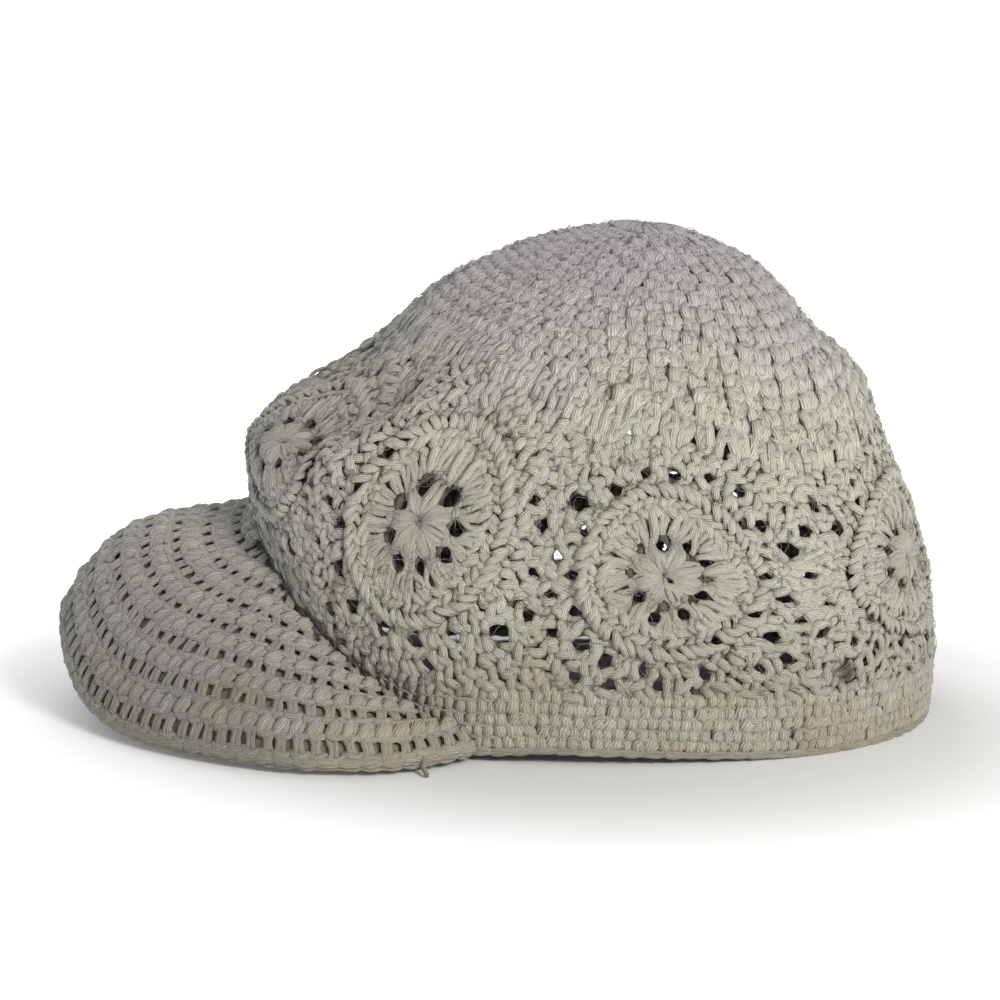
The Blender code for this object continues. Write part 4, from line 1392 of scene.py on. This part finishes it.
@dataclass
class Headband:
    """The plain band: short rounds of stitches and a chain edging along the rim."""

    form: CapForm
    finishes: list[Material]
    rounds: int = 5
    pitch: float = 0.0058
    slant: float = 0.06
    phase: float = 0.5
    edge_height: float = 0.0022
    edge_middle: float = 0.52
    edge_half: float = 0.42
    edge_radius: float = 0.85
    backing_columns: int = 120
    backing_start: float = 0.0008
    backing: tuple[float, float] = (-0.3, -1.5)
    end_angle: float = 64.0
    end_reach: float = 13.0
    end_share: float = 0.72
    far_angle: float = 268.0
    far_reach: float = 62.0

    def build(self) -> Piece:
        """Work the rounds, the edging and the backing."""
        form = self.form
        mesh = YarnMesh()
        hand = Hand(23)
        top = form.band_top(np.linspace(0, TURN, Round.samples)) / form.profile
        edge = self.edge_height / form.profile
        for index in range(self.rounds):
            low = edge + (top - edge) * index / self.rounds
            high = edge + (top - edge) * (index + 1) / self.rounds
            work_row(mesh, Round(form, low, high, self.pitch), Stitch.BAND, hand, self.slant,
                     phase=self.phase * index, settle=self.drawn_down)
        self._edge(mesh, hand, Round(form, 0.0, edge, self.pitch))
        angles = np.linspace(0, TURN, self.backing_columns, endpoint=False)
        shares = np.array([0.0, 0.5, 1.0])[:, None] * (form.band_top(angles) / form.profile)
        shares[0] = self.backing_start / form.profile
        faces = sheet_faces(len(shares), len(angles), True)
        add_backing(mesh, form, np.broadcast_to(angles, shares.shape), shares, faces, self.backing)
        return mesh.build("headband_crochet", self.finishes)

    def drawn_down(self, centre: Array, angle: Array, along: Array) -> Array:
        """Routes drawn down where the band runs into the peak's ends, and on the wearer's right.

        The fall is a bell round each of these angles times the rim's height there, and fades to nothing
        at the band's top.
        """
        rim = self.form.place(angle, 0.0, 0.0)[0][..., 2]
        off = (np.abs(np.degrees(signed_turn(angle))) - self.end_angle) / self.end_reach
        far = (np.degrees(angle) % 360 - self.far_angle) / self.far_reach
        fall = np.maximum(np.exp(-off ** 4), np.exp(-far ** 4))
        up = np.clip(along * self.form.profile / self.form.band_top(angle), 0.0, 1.0)
        moved = centre.copy()
        moved[..., 2] -= self.end_share * rim * fall * (1 - up) ** 0.7
        return moved

    def _edge(self, mesh: YarnMesh, hand: Hand, ring: Round) -> None:
        """The chain of long shallow loops along the bottom edge."""
        number = np.arange(ring.count)[:, None]
        for strand, route in Stitch.CHAIN.strands():
            x = number + route[:, 0] + hand.stray(0.03, ring.count)
            angle, along = ring.lay(x, self.edge_middle + self.edge_half * route[:, 1])
            offset = (route[:, 2] * 0.5 + 0.25) * MM
            centre, normal = ring.form.place(angle, along, offset)
            centre = self.drawn_down(centre, angle, along)
            mesh.add_tubes(centre, normal, self.edge_radius * MM * tapered(strand.steps, ring.ends), 0.9,
                           hand.draw.random(ring.count), offset)


@dataclass
class Wheel:
    """One openwork wheel: petals, fans, a proud rim braid, and open braids out to the panel's edge.

    Sizes of strands, rings and bars are in millimetres, as reaches from the wheel's middle.
    """

    form: CapForm
    finishes: list[Material]
    number: int
    gaps: Gaps
    petals: int = 8
    petal_strands: tuple[float, ...] = (-1.0, -0.6, -0.2, 0.2, 0.6, 1.0)
    petal_start: float = 0.4
    petal_length: float = 9.5
    petal_half: float = 2.15
    petal_puff: float = 1.5
    petal_bars: tuple[tuple[float, float], ...] = ((9.0, 1.5), (9.9, 1.3))
    petal_gap_reaches: tuple[float, float] = (6.0, 13.0)
    fan_strands: int = 10
    fan_half: float = 0.47
    fan_starts: tuple[tuple[float, float], ...] = ((0.16, 11.0), (0.28, 10.2), (1.0, 9.0))
    fan_end: float = 17.6
    rings: int = 13
    rim_ring: int = 2
    rim_proud: float = 1.2
    moat_proud: float = -0.5
    first_ring: float = 17.5
    ring_step: float = 2.65
    braid_lean: float = 1.8
    open_lean: float = 0.75
    fold_half: float = 2.6
    fold_lean: float = 0.9
    fold_radius: float = 1.25
    top_margin: float = 1.5
    net_step: float = 0.0042
    net_hole: float = 1.28
    net_cut: float = 0.94
    backing: tuple[float, float] = (-0.15, -1.3)
    fibres: int = 300
    fibre_reach: float = 0.0035

    @cached_property
    def row(self) -> WheelPlace:
        """This wheel's row of the table."""
        return WHEELS[self.number]

    @cached_property
    def spans(self) -> tuple[float, float]:
        """Half the way to the wheel before and to the wheel after, in radians."""
        before = WHEELS[self.number - 1].middle - (360.0 if self.number == 0 else 0.0)
        last = self.number == len(WHEELS) - 1
        after = WHEELS[(self.number + 1) % len(WHEELS)].middle + (360.0 if last else 0.0)
        return math.radians(self.row.middle - before) / 2, math.radians(after - self.row.middle) / 2

    @cached_property
    def pitch(self) -> float:
        """Width of the flat panel."""
        return TURN * self.form.mean_radius / len(WHEELS)

    def to_fabric(self, x: Array, y: Array) -> tuple[Array, Array]:
        """Angle and share of the profile of a place on the flat panel, from its middle."""
        before, after = self.spans
        angle = math.radians(self.row.middle) + np.where(x < 0, before, after) * 2 * x / self.pitch
        low = self.form.band_top(angle)
        up = low + (self.form.panel_top - low) * (y / self.form.wheel_height + 0.5)
        return angle, up / self.form.profile

    def to_panel(self, angle: Array, along: Array) -> tuple[Array, Array]:
        """The flat place of an angle and share of the profile."""
        before, after = self.spans
        turned = signed_turn(angle - math.radians(self.row.middle))
        x = turned / np.where(turned < 0, before, after) * self.pitch / 2
        low = self.form.band_top(angle)
        share = (along * self.form.profile - low) / (self.form.panel_top - low)
        return x, (share - 0.5) * self.form.wheel_height

    def polar(self, reach: Array, bearing: Array) -> tuple[Array, Array]:
        """Fabric place of a reach in metres and a bearing in radians from the wheel's own middle."""
        x = reach * np.cos(bearing)
        y = reach * np.sin(bearing) + self.row.above * self.form.wheel_height
        return self.to_fabric(x, y)

    def lay(self, mesh: YarnMesh, hand: Hand, reach: Array, bearing: Array, out: Array, radius: Array,
            flat: float) -> None:
        """Lay strands given by reach and bearing, parted round the gaps.

        Args:
            mesh: The mesh that takes them.
            hand: Draws the unevenness.
            reach: Metres from the wheel's middle, one strand a row.
            bearing: Radians round it.
            out: Millimetres outside the fabric's middle.
            radius: Half width in millimetres.
            flat: Thickness as a share of the width.
        """
        reach, bearing, out, radius = np.broadcast_arrays(reach, bearing, out, radius)
        angle, along = self.gaps.part(*self.polar(reach, bearing), float(radius.mean()) * MM)
        edge = self.top_margin * MM / self.form.profile
        top = self.form.panel_top / self.form.profile + edge
        offset = (out + hand.stray(0.10, len(out))) * MM
        centre, normal = self.form.place(angle, np.clip(along, 0.0, top), offset)
        thick = 1 + hand.stray(0.06, len(out))
        mesh.add_tubes(centre, normal, radius * thick * MM, flat, hand.draw.random(len(out)), offset)

    def edge_reach(self, bearing: Array) -> Array:
        """Reach of the panel's edge on a bearing."""
        x = self.pitch / 2 / np.maximum(np.abs(np.cos(bearing)), 1e-6)
        above = self.row.above * self.form.wheel_height
        y = self.form.wheel_height / 2 - above * np.sign(np.sin(bearing))
        return np.minimum(x, y / np.maximum(np.abs(np.sin(bearing)), 1e-6))

    def build(self) -> Piece:
        """Work the wheel from its middle outwards."""
        mesh = YarnMesh()
        hand = Hand(100 + self.number)
        gap_bearings = self.petal_gaps()
        following = np.append(gap_bearings[1:], gap_bearings[0] + TURN)
        self._petals(mesh, hand, (gap_bearings + following) / 2)
        self._fans(mesh, hand, gap_bearings)
        for index in range(self.rings):
            is_open = index > self.rim_ring
            lean = self.braid_lean * (1 if index % 2 == 0 else -1) * (self.open_lean if is_open else 1.0)
            proud = {self.rim_ring: self.rim_proud, self.rim_ring + 1: self.moat_proud}.get(index, 0.0)
            self._braid(mesh, hand, self.first_ring + self.ring_step * index, lean, proud,
                        LOOSE_BRAID if is_open else TIGHT_BRAID)
        self._fold_edge(mesh, hand)
        self._backing(mesh)
        x = (hand.draw.random(self.fibres) - 0.5) * self.pitch
        y = (hand.draw.random(self.fibres) - 0.5) * self.form.wheel_height
        angle, along = self.to_fabric(x, y)
        mesh.add_fuzz(self.form.place, angle, along, (1 / self.form.mean_radius, 1 / self.form.profile),
                      self.fibre_reach)
        if self.row.node == "wheel_back_left":
            mesh.add_loose(BACK_LOOP, (0.9, 0.3, 0.1))
        return mesh.build(self.row.node + "_crochet", self.finishes)

    def petal_gaps(self) -> Array:
        """Bearings of the gaps between the petals: those of the ring that the wheel has, or even ones."""
        x, y = self.to_panel(self.gaps.angle, self.gaps.along)
        y = y - self.row.above * self.form.wheel_height
        reach = np.hypot(x, y)
        near, far = self.petal_gap_reaches
        found = np.sort(np.arctan2(y, x)[(reach > near * MM) & (reach < far * MM)])
        if abs(len(found) - self.petals) <= 1:
            return found
        return math.radians(self.row.turn) + TURN * np.arange(self.petals) / self.petals

    def _petals(self, mesh: YarnMesh, hand: Hand, bearings: Array) -> None:
        """Strands of each petal, spread to a leaf and puffed, and two bars that draw its tip together.

        The leaf's half width and the puff are powers of a sine of the share of its length.
        """
        count = len(bearings)
        where = np.linspace(0, 1, 10)
        reach = (self.petal_start + self.petal_length * where) * MM
        leaf = np.sin(math.pi * where ** 1.25 * 0.93) ** 0.75
        puff = np.sin(math.pi * where ** 0.9)
        for place in self.petal_strands:
            beside = place * (0.10 + self.petal_half * leaf) * MM
            bearing = bearings[:, None] + beside / reach + hand.stray(0.025, count)
            out = 0.2 + self.petal_puff * puff * (1 - 0.35 * place * place) - 0.8 * where ** 6
            radius = 0.40 + 0.40 * puff + hand.stray(0.05, count)
            self.lay(mesh, hand, reach, bearing, out, radius, 0.85)
        cross = np.linspace(-1, 1, 6)
        for tip, half in self.petal_bars:
            reach = (tip - 0.5 * cross ** 2) * MM
            bearing = bearings[:, None] + cross * half * MM / reach + hand.stray(0.03, count)
            self.lay(mesh, hand, reach, bearing, 1.0 - 1.2 * cross ** 2, 0.62, 0.85)

    def _fans(self, mesh: YarnMesh, hand: Hand, bearings: Array) -> None:
        """Strands fanned out of each gap, the outer ones from the petals' tips, wider between far gaps."""
        count = len(bearings)
        before = (bearings - np.roll(bearings, 1)) % TURN
        after = np.roll(before, -1)
        where = np.linspace(0, 1, 7)
        sector = TURN / self.petals
        for place in np.linspace(-self.fan_half, self.fan_half, self.fan_strands):
            start = next(reach for limit, reach in self.fan_starts if abs(place) < limit)
            end = self.fan_end + hand.stray(0.4, count)
            reach = (start + (end - start) * where) * MM
            spread = 0.74 + 0.28 * where ** 0.6
            span = (before if place < 0 else after)[:, None]
            bearing = bearings[:, None] + place * span * spread + hand.stray(0.02, count)
            bearing = bearing + hand.stray(0.04, count) * where
            out = 0.7 * np.sin(math.pi * (0.10 + 0.76 * where)) + hand.stray(0.18, count)
            radius = (0.72 + 0.44 * where + hand.stray(0.08, count)) * np.sqrt(span / sector)
            self.lay(mesh, hand, reach, bearing, out, radius, 0.70)

    def _braid(self, mesh: YarnMesh, hand: Hand, reach: float, lean: float, proud: float,
               yarn: BraidYarn) -> None:
        """A ring of short slanted strands: the chained top of a round, as far as the panel goes.

        Args:
            mesh: The mesh that takes the strands.
            hand: Draws the unevenness.
            reach: Millimetres from the wheel's middle to the ring.
            lean: Millimetres that a strand runs sideways each way from its middle.
            proud: Millimetres that the ring stands out.
            yarn: The strands' spacing, size and unevenness.
        """
        links = round(TURN * reach / yarn.spacing)
        where = np.linspace(-1, 1, 5)
        shift = hand.stray(yarn.stray, links)
        first = TURN * (np.arange(links)[:, None] + shift) / links
        first = first[self.edge_reach(first[:, 0]) > (reach - 1.2) * MM]
        links = len(first)
        drift = hand.stray(yarn.drift, links)
        tilt = lean * (1 + hand.stray(yarn.tilt, links))
        radial = reach + drift + yarn.half_length * where
        bearing = first + tilt * where / reach
        out = 0.9 + proud - 1.1 * where ** 2 + hand.stray(yarn.heave, links)
        self.lay(mesh, hand, radial * MM, bearing, out, yarn.thick * (1 - 0.25 * where ** 2), 0.58)

    def _fold_edge(self, mesh: YarnMesh, hand: Hand) -> None:
        """The proud edge of stitches down the fold between the front and the side."""
        if self.row.node != FOLD_EDGE.node:
            return
        share = (np.arange(FOLD_EDGE.stitches)[:, None] + 0.5) / FOLD_EDGE.stitches
        where = np.linspace(-1, 1, 6)
        start, end = np.array(FOLD_EDGE.start), np.array(FOLD_EDGE.end)
        middle = start + (end - start) * share
        run = (end - start) / np.linalg.norm(end - start)
        beside = np.array([-run[1], run[0]])
        half, lean = self.fold_half * MM, self.fold_lean * MM
        x, y = (middle[:, i:i + 1] + half * where * beside[i] + lean * where * run[i] for i in (0, 1))
        angle, along = self.to_fabric(x, y)
        offset = (FOLD_EDGE.proud * (1 - where ** 2) + hand.stray(0.2, len(middle))) * MM
        centre, normal = self.form.place(angle, along, offset)
        radius = self.fold_radius * MM * (1 - 0.3 * where ** 2)
        mesh.add_tubes(centre, normal, radius, 0.7, hand.draw.random(len(middle)), offset)

    def _hole_outlines(self, x: Array, y: Array, wide: Array, high: Array) -> list[Array]:
        """Eight-sided outlines of holes on the flat panel, kept just inside its edges."""
        corners = TURN * np.arange(8) / 8
        limit = np.array([self.pitch, self.form.wheel_height]) / 2 - 0.02 * MM
        rings = [np.stack([cx + a * np.cos(corners), cy + b * np.sin(corners)], axis=-1)
                 for cx, cy, a, b in zip(x, y, wide, high)]
        return [np.clip(ring, -limit, limit) for ring in rings]

    def _backing(self, mesh: YarnMesh) -> None:
        """A thin net behind the strands: the panel in triangles, less those inside a gap's ellipse."""
        width, height = self.pitch, self.form.wheel_height
        gap_x, gap_y = self.to_panel(self.gaps.angle, self.gaps.along)
        keep = (np.abs(gap_x) < 0.56 * width) & (np.abs(gap_y) < 0.54 * height)
        gap_x, gap_y = gap_x[keep], gap_y[keep]
        wide, high = self.net_hole * self.gaps.wide[keep], self.net_hole * self.gaps.high[keep]
        columns, rows = round(width / self.net_step), round(height / self.net_step)
        grid_x, grid_y = np.meshgrid(np.linspace(-0.5, 0.5, columns + 1) * width,
                                     np.linspace(-0.5, 0.5, rows + 1) * height)
        grid = np.stack([grid_x, grid_y], axis=-1)
        edge = np.concatenate([grid[0, :-1], grid[:-1, -1], grid[-1, :0:-1], grid[:0:-1, 0]])
        points, edges = [], []
        for loop in [edge] + self._hole_outlines(gap_x, gap_y, wide, high):
            first = len(points)
            points.extend(loop)
            edges.extend((first + i, first + (i + 1) % len(loop)) for i in range(len(loop)))
        points.extend(grid[1:-1, 1:-1].reshape(-1, 2))
        flat = [Vector((float(x), float(y))) for x, y in points]
        made = delaunay_2d_cdt(flat, edges, [], 0, 1e-6)
        spots = np.array([(point.x, point.y) for point in made[0]])
        triangles = np.array([tuple(face) for face in made[2]])
        middle = spots[triangles].mean(axis=1)
        off_x, off_y = (middle[:, :1] - gap_x) / wide, (middle[:, 1:] - gap_y) / high
        cut = (off_x ** 2 + off_y ** 2 < self.net_cut).any(axis=1)
        angle, along = self.to_fabric(spots[:, 0], spots[:, 1])
        add_backing(mesh, self.form, angle, along, triangles[~cut], self.backing)


@dataclass
class PeakRow:
    """One row of the peak, parallel to its outer edge."""

    form: PeakForm
    near: float
    far: float
    pitch: float
    unevenness: float = 0.6
    ends: float = 0.8

    def __post_init__(self) -> None:
        """Measure the row where the peak is wide enough for it, and count its stitches."""
        across = np.linspace(-0.998, 0.998, 401)
        middle = (self.near + self.far) / 2
        self.across = across[self.form.width(across) > middle]
        self.reach = lengths_along(self.form.place(self.across, middle, 0.0)[0])
        self.count = max(1, round(self.reach[-1] / self.pitch))

    def lay(self, x: Array, up: Array) -> tuple[Array, Array]:
        """Across and inset of places given in stitches along and rows in."""
        across = np.interp(x / self.count * self.reach[-1], self.reach, self.across)
        return across, self.near + (self.far - self.near) * up

    def squeeze(self, across: Array) -> Array:
        """The row is as high everywhere, so its stitches keep their size."""
        return np.ones(across.shape)


@dataclass
class Peak:
    """The peak's crochet: rows of posts and of slanted stitches by turns, and an edging cord."""

    form: PeakForm
    finishes: list[Material]
    row_height: float = 0.0048
    pitch: float = 0.0046
    edging: float = 0.0022
    last_row_share: float = 0.3
    hem_pitch: float = 0.0058
    hem_cords: tuple[Spot, ...] = ((0.1, 1.2, 1.05), (-1.1, 0.7, 0.95), (-2.0, 1.3, 0.75))

    def build(self) -> Piece:
        """Work the rows from the outer edge to the band, and the edging."""
        mesh = YarnMesh()
        hand = Hand(57)
        widest = float(self.form.width_table[1].max())
        index = 0
        near = self.edging
        while near + self.last_row_share * self.row_height < widest:
            stitch = Stitch.POST if index % 2 == 0 else Stitch.SLANT
            row = PeakRow(self.form, near, near + self.row_height, self.pitch)
            if row.count > 2:
                work_row(mesh, row, stitch, hand, phase=0.5)
            near += self.row_height
            index += 1
        self._edge(mesh, hand)
        mesh.add_loose(PEAK_TAIL, (0.6, -0.2, 0.8))
        return mesh.build("peak_crochet", self.finishes)

    def _edge(self, mesh: YarnMesh, hand: Hand) -> None:
        """The hem: chains that turn down over the insert's edge, each by its drop, inset and radius."""
        row = PeakRow(self.form, 0.0, MM, self.hem_pitch)
        number = np.arange(row.count)[:, None]
        for drop, inset, radius in self.hem_cords:
            for strand, route in Stitch.CHAIN.strands():
                place, _ = row.lay(number + route[:, 0], route[:, 1])
                offset = (drop + 0.55 * route[:, 1] + 0.2 * route[:, 2]) * MM
                away = (inset - 0.35 * route[:, 2] + 0.5 * route[:, 1]) * MM
                centre, normal = self.form.place(place, away, offset)
                mesh.add_tubes(centre, normal, radius * MM * tapered(strand.steps, row.ends), 0.9,
                               hand.draw.random(row.count), 0.3 * MM)


@dataclass
class PeakInsert:
    """The smooth stiffener under the peak's crochet."""

    form: PeakForm
    columns: int = 120
    rows: int = 26
    half_span: float = 0.985
    start: float = 0.02
    clear: float = 0.0024

    def build(self) -> Piece:
        """A closed sheet between two offsets of the peak's surface."""
        across = np.linspace(-self.half_span, self.half_span, self.columns)
        far = 1 - np.minimum(self.clear / self.form.width(across), 0.4)
        out = np.linspace(self.start, 1, self.rows)[:, None] * far
        drop = self.form.layer + self.form.cap.gap
        top, bottom = (self.form.surface(across[None, :], out, down).reshape(-1, 3)
                       for down in (drop, drop + self.form.insert))
        faces = sheet_faces(self.rows, self.columns, False)[:, ::-1]
        mesh = YarnMesh()
        mesh.add_wall(top, bottom, faces, np.zeros((len(top), 2)), (0, 0), 0.0)
        return mesh.build("peak_insert_sheet", [InsertPlastic().make()])


@dataclass(frozen=True)
class Photographer:
    """The camera at the photograph's angle."""

    azimuth: float = 88.0
    elevation: float = 9.6
    distance: float = 0.85
    roll: float = 0.55
    target: Spot = (0.0, 0.0, 0.0585)
    frame_width: float = 0.2907
    pixels: int = 1000
    sensor: float = 36.0
    least_facing: float = 0.05

    @cached_property
    def axes(self) -> tuple[Array, Array, Array]:
        """Right, up and towards-camera directions."""
        turn, tilt, roll = (math.radians(v) for v in (self.azimuth, self.elevation, self.roll))
        back = np.array([math.sin(turn) * math.cos(tilt), -math.cos(turn) * math.cos(tilt), math.sin(tilt)])
        right = unit(np.cross(np.array([0.0, 0.0, 1.0]), back))
        up = np.cross(back, right)
        return (math.cos(roll) * right + math.sin(roll) * up,
                math.cos(roll) * up - math.sin(roll) * right, back)

    def pixel_of(self, points: Array) -> tuple[Array, Array, Array]:
        """Pixel column, row and depth of points."""
        right, up, back = self.axes
        away = points - np.array(self.target)
        depth = self.distance - away @ back
        scale = self.pixels * self.distance / self.frame_width / depth
        return (self.pixels / 2 + away @ right * scale, self.pixels / 2 - away @ up * scale, depth)

    def gaps_on(self, form: CapForm, seen: tuple[SeenGap, ...]) -> Gaps:
        """The fabric places of gaps given by pixel: the nearest point of the near wall to each."""
        angle, along = np.meshgrid(np.radians(np.linspace(5, 175, 341)), np.linspace(0, 0.75, 260))
        points, normal = form.place(angle, along, 0.0)
        column, row, _ = self.pixel_of(points)
        facing = normal @ self.axes[2]
        places = []
        for gap in seen:
            off = np.hypot(column - gap.column, row - gap.row)
            off = np.where(facing > self.least_facing, off, np.inf)
            best = np.unravel_index(off.argmin(), off.shape)
            places.append((angle[best], along[best], gap.wide * MM, gap.high * MM))
        return Gaps(form, *np.array(places).T)

    def build(self) -> None:
        """Make the camera and set it as the scene's."""
        right, up, back = self.axes
        lens = bpy.data.cameras.new("photograph_camera")
        lens.sensor_fit = "HORIZONTAL"
        lens.sensor_width = self.sensor
        lens.lens = self.sensor * self.distance / self.frame_width
        lens.clip_start = 0.01
        place = np.eye(4)
        place[:3] = np.stack([right, up, back, np.array(self.target) + self.distance * back], axis=-1)
        camera = add_object("photograph_camera", lens)
        camera.matrix_world = Matrix(place.tolist())
        bpy.context.scene.camera = camera


@dataclass(frozen=True)
class Studio:
    """A pale floor and soft light from high on the camera's right."""

    floor_half: float = 6.0
    key_power: float = 13.0
    key_size: float = 0.45
    key_place: Spot = (1.05, 0.62, 0.72)
    key_colour: Spot = (1.0, 0.98, 0.94)
    fill_power: float = 6.5
    fill_size: float = 0.9
    fill_place: Spot = (-0.9, -0.35, 0.85)
    fill_colour: Spot = (0.95, 0.96, 1.0)
    lamp_target: Spot = (0.0, 0.0, 0.06)
    horizon: float = 1.05
    zenith: float = 0.24
    fade_heights: tuple[float, float] = (0.02, 0.25)
    air_colour: Colour = (0.97, 0.98, 1.0, 1.0)

    def build(self) -> None:
        """Make the floor, the lamps and the light around, which fades from the horizon upwards."""
        half = self.floor_half
        mesh = bpy.data.meshes.new("floor")
        mesh.from_pydata([(-half, -half, 0), (half, -half, 0), (half, half, 0), (-half, half, 0)], [],
                         [(0, 1, 2, 3)])
        mesh.materials.append(FloorPaint().make())
        add_object("floor", mesh)
        self._lamp("key_lamp", self.key_place, self.key_power, self.key_size, self.key_colour)
        self._lamp("fill_lamp", self.fill_place, self.fill_power, self.fill_size, self.fill_colour)
        air = NodeWork("studio_air", "worlds")
        up = air.split(air.node("ShaderNodeTexCoord", {}, {}, "Generated"))[2]
        glow = up.ramp(*self.fade_heights) * (self.zenith - self.horizon) + self.horizon
        air.join(air.shader.inputs["Strength"], glow)
        air.hold(Color=self.air_colour)
        bpy.context.scene.world = air.owner
        bpy.context.scene.view_settings.view_transform = "Standard"

    def _lamp(self, name: str, place: Spot, power: float, size: float, colour: Spot) -> None:
        """A square area lamp aimed at the cap."""
        lamp = bpy.data.lights.new(name, "AREA")
        lamp.energy = power
        lamp.size = size
        lamp.color = colour
        holder = add_object(name, lamp)
        holder.location = place
        aim = Vector(self.lamp_target) - Vector(place)
        holder.rotation_euler = aim.to_track_quat("-Z", "Y").to_euler()


def even_gaps(form: CapForm, wheel: Wheel) -> Gaps:
    """The gaps of a wheel whose own gaps aren't seen: a petal ring, a mesh ring and its corners' gaps.

    The rings' gaps are a share of their full size, smaller at the front.
    """
    small = 0.72 if wheel.row.node.startswith("wheel_front") else 0.86
    rows = []
    for ring in EVEN_RINGS:
        bearing = math.radians(wheel.row.turn) + ring.start + TURN * np.arange(ring.count) / ring.count
        angle, along = wheel.polar(np.full(ring.count, ring.reach * MM), bearing)
        rows.extend((a, b, small * ring.wide * MM, small * ring.high * MM) for a, b in zip(angle, along))
    for x, y in CORNER_GAPS:
        angle, along = wheel.to_fabric(np.array(x * wheel.pitch), np.array(y * form.wheel_height))
        rows.append((float(angle), float(along), 2.0 * MM, 1.9 * MM))
    return Gaps(form, *np.array(rows).T)


def even_slits(form: CapForm, start: float, end: float, spacing: float = 0.013) -> Gaps:
    """Slits of the joining round between two angles in degrees, one about every two stitches."""
    angle = np.arange(math.radians(start), math.radians(end), spacing / (0.78 * form.mean_radius))
    along = (form.panel_top + 0.5 * Crown.joining_height) / form.profile
    return Gaps(form, angle, *[np.full(angle.shape, value) for value in (along, 0.8 * MM, 1.5 * MM)])


def gather_gaps(form: CapForm, photographer: Photographer) -> tuple[Gaps, Gaps]:
    """The openwork's gaps and the joining round's slits, seen ones where the photograph shows them.

    Args:
        form: The cap's form.
        photographer: Finds the seen gaps' places on the fabric.

    Returns:
        The gaps, with even ones at least 8 mm from any other, and the slits.
    """
    apart = 8.0 * MM
    gaps = photographer.gaps_on(form, SEEN_GAPS)
    for number, row in enumerate(WHEELS):
        if row.node in ("wheel_left_front", "wheel_left_back"):
            continue
        extra = even_gaps(form, Wheel(form, [], number, gaps))
        across = signed_turn(gaps.angle - extra.angle[:, None]) * form.mean_radius
        up = (gaps.along - extra.along[:, None]) * form.profile
        gaps = gaps.joined(extra.only(np.hypot(across, up).min(axis=1) > apart))
    return gaps, photographer.gaps_on(form, SEEN_SLITS).joined(even_slits(form, 135.0, 395.0))


def dress(piece: Piece, node: str) -> None:
    """Ride the piece on the body, let it stand for its node and report it."""
    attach(piece, "root")
    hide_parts(node)
    faces = sum(len(p.vertices) - 2 for p in piece.data.polygons)
    logging.info("%s: %d triangles", piece.name, faces)


def main() -> None:
    """Build the camera, the studio and every piece in order."""
    logging.basicConfig(level=logging.INFO)
    photographer = Photographer()
    photographer.build()
    Studio().build()
    form = CapForm()
    peak_form = PeakForm(form)
    close, openwork = make_finishes()
    gaps, slits = gather_gaps(form, photographer)
    dress(Headband(form, close).build(), "headband")
    for number, row in enumerate(WHEELS):
        near = gaps.near(math.radians(row.middle), math.radians(WHEEL_REACH))
        dress(Wheel(form, openwork, number, near).build(), row.node)
    dress(Crown(form, close, slits).build(), "crown")
    dress(Peak(peak_form, close).build(), "peak")
    dress(PeakInsert(peak_form).build(), "peak_insert")


if __name__ == "__main__":
    main()
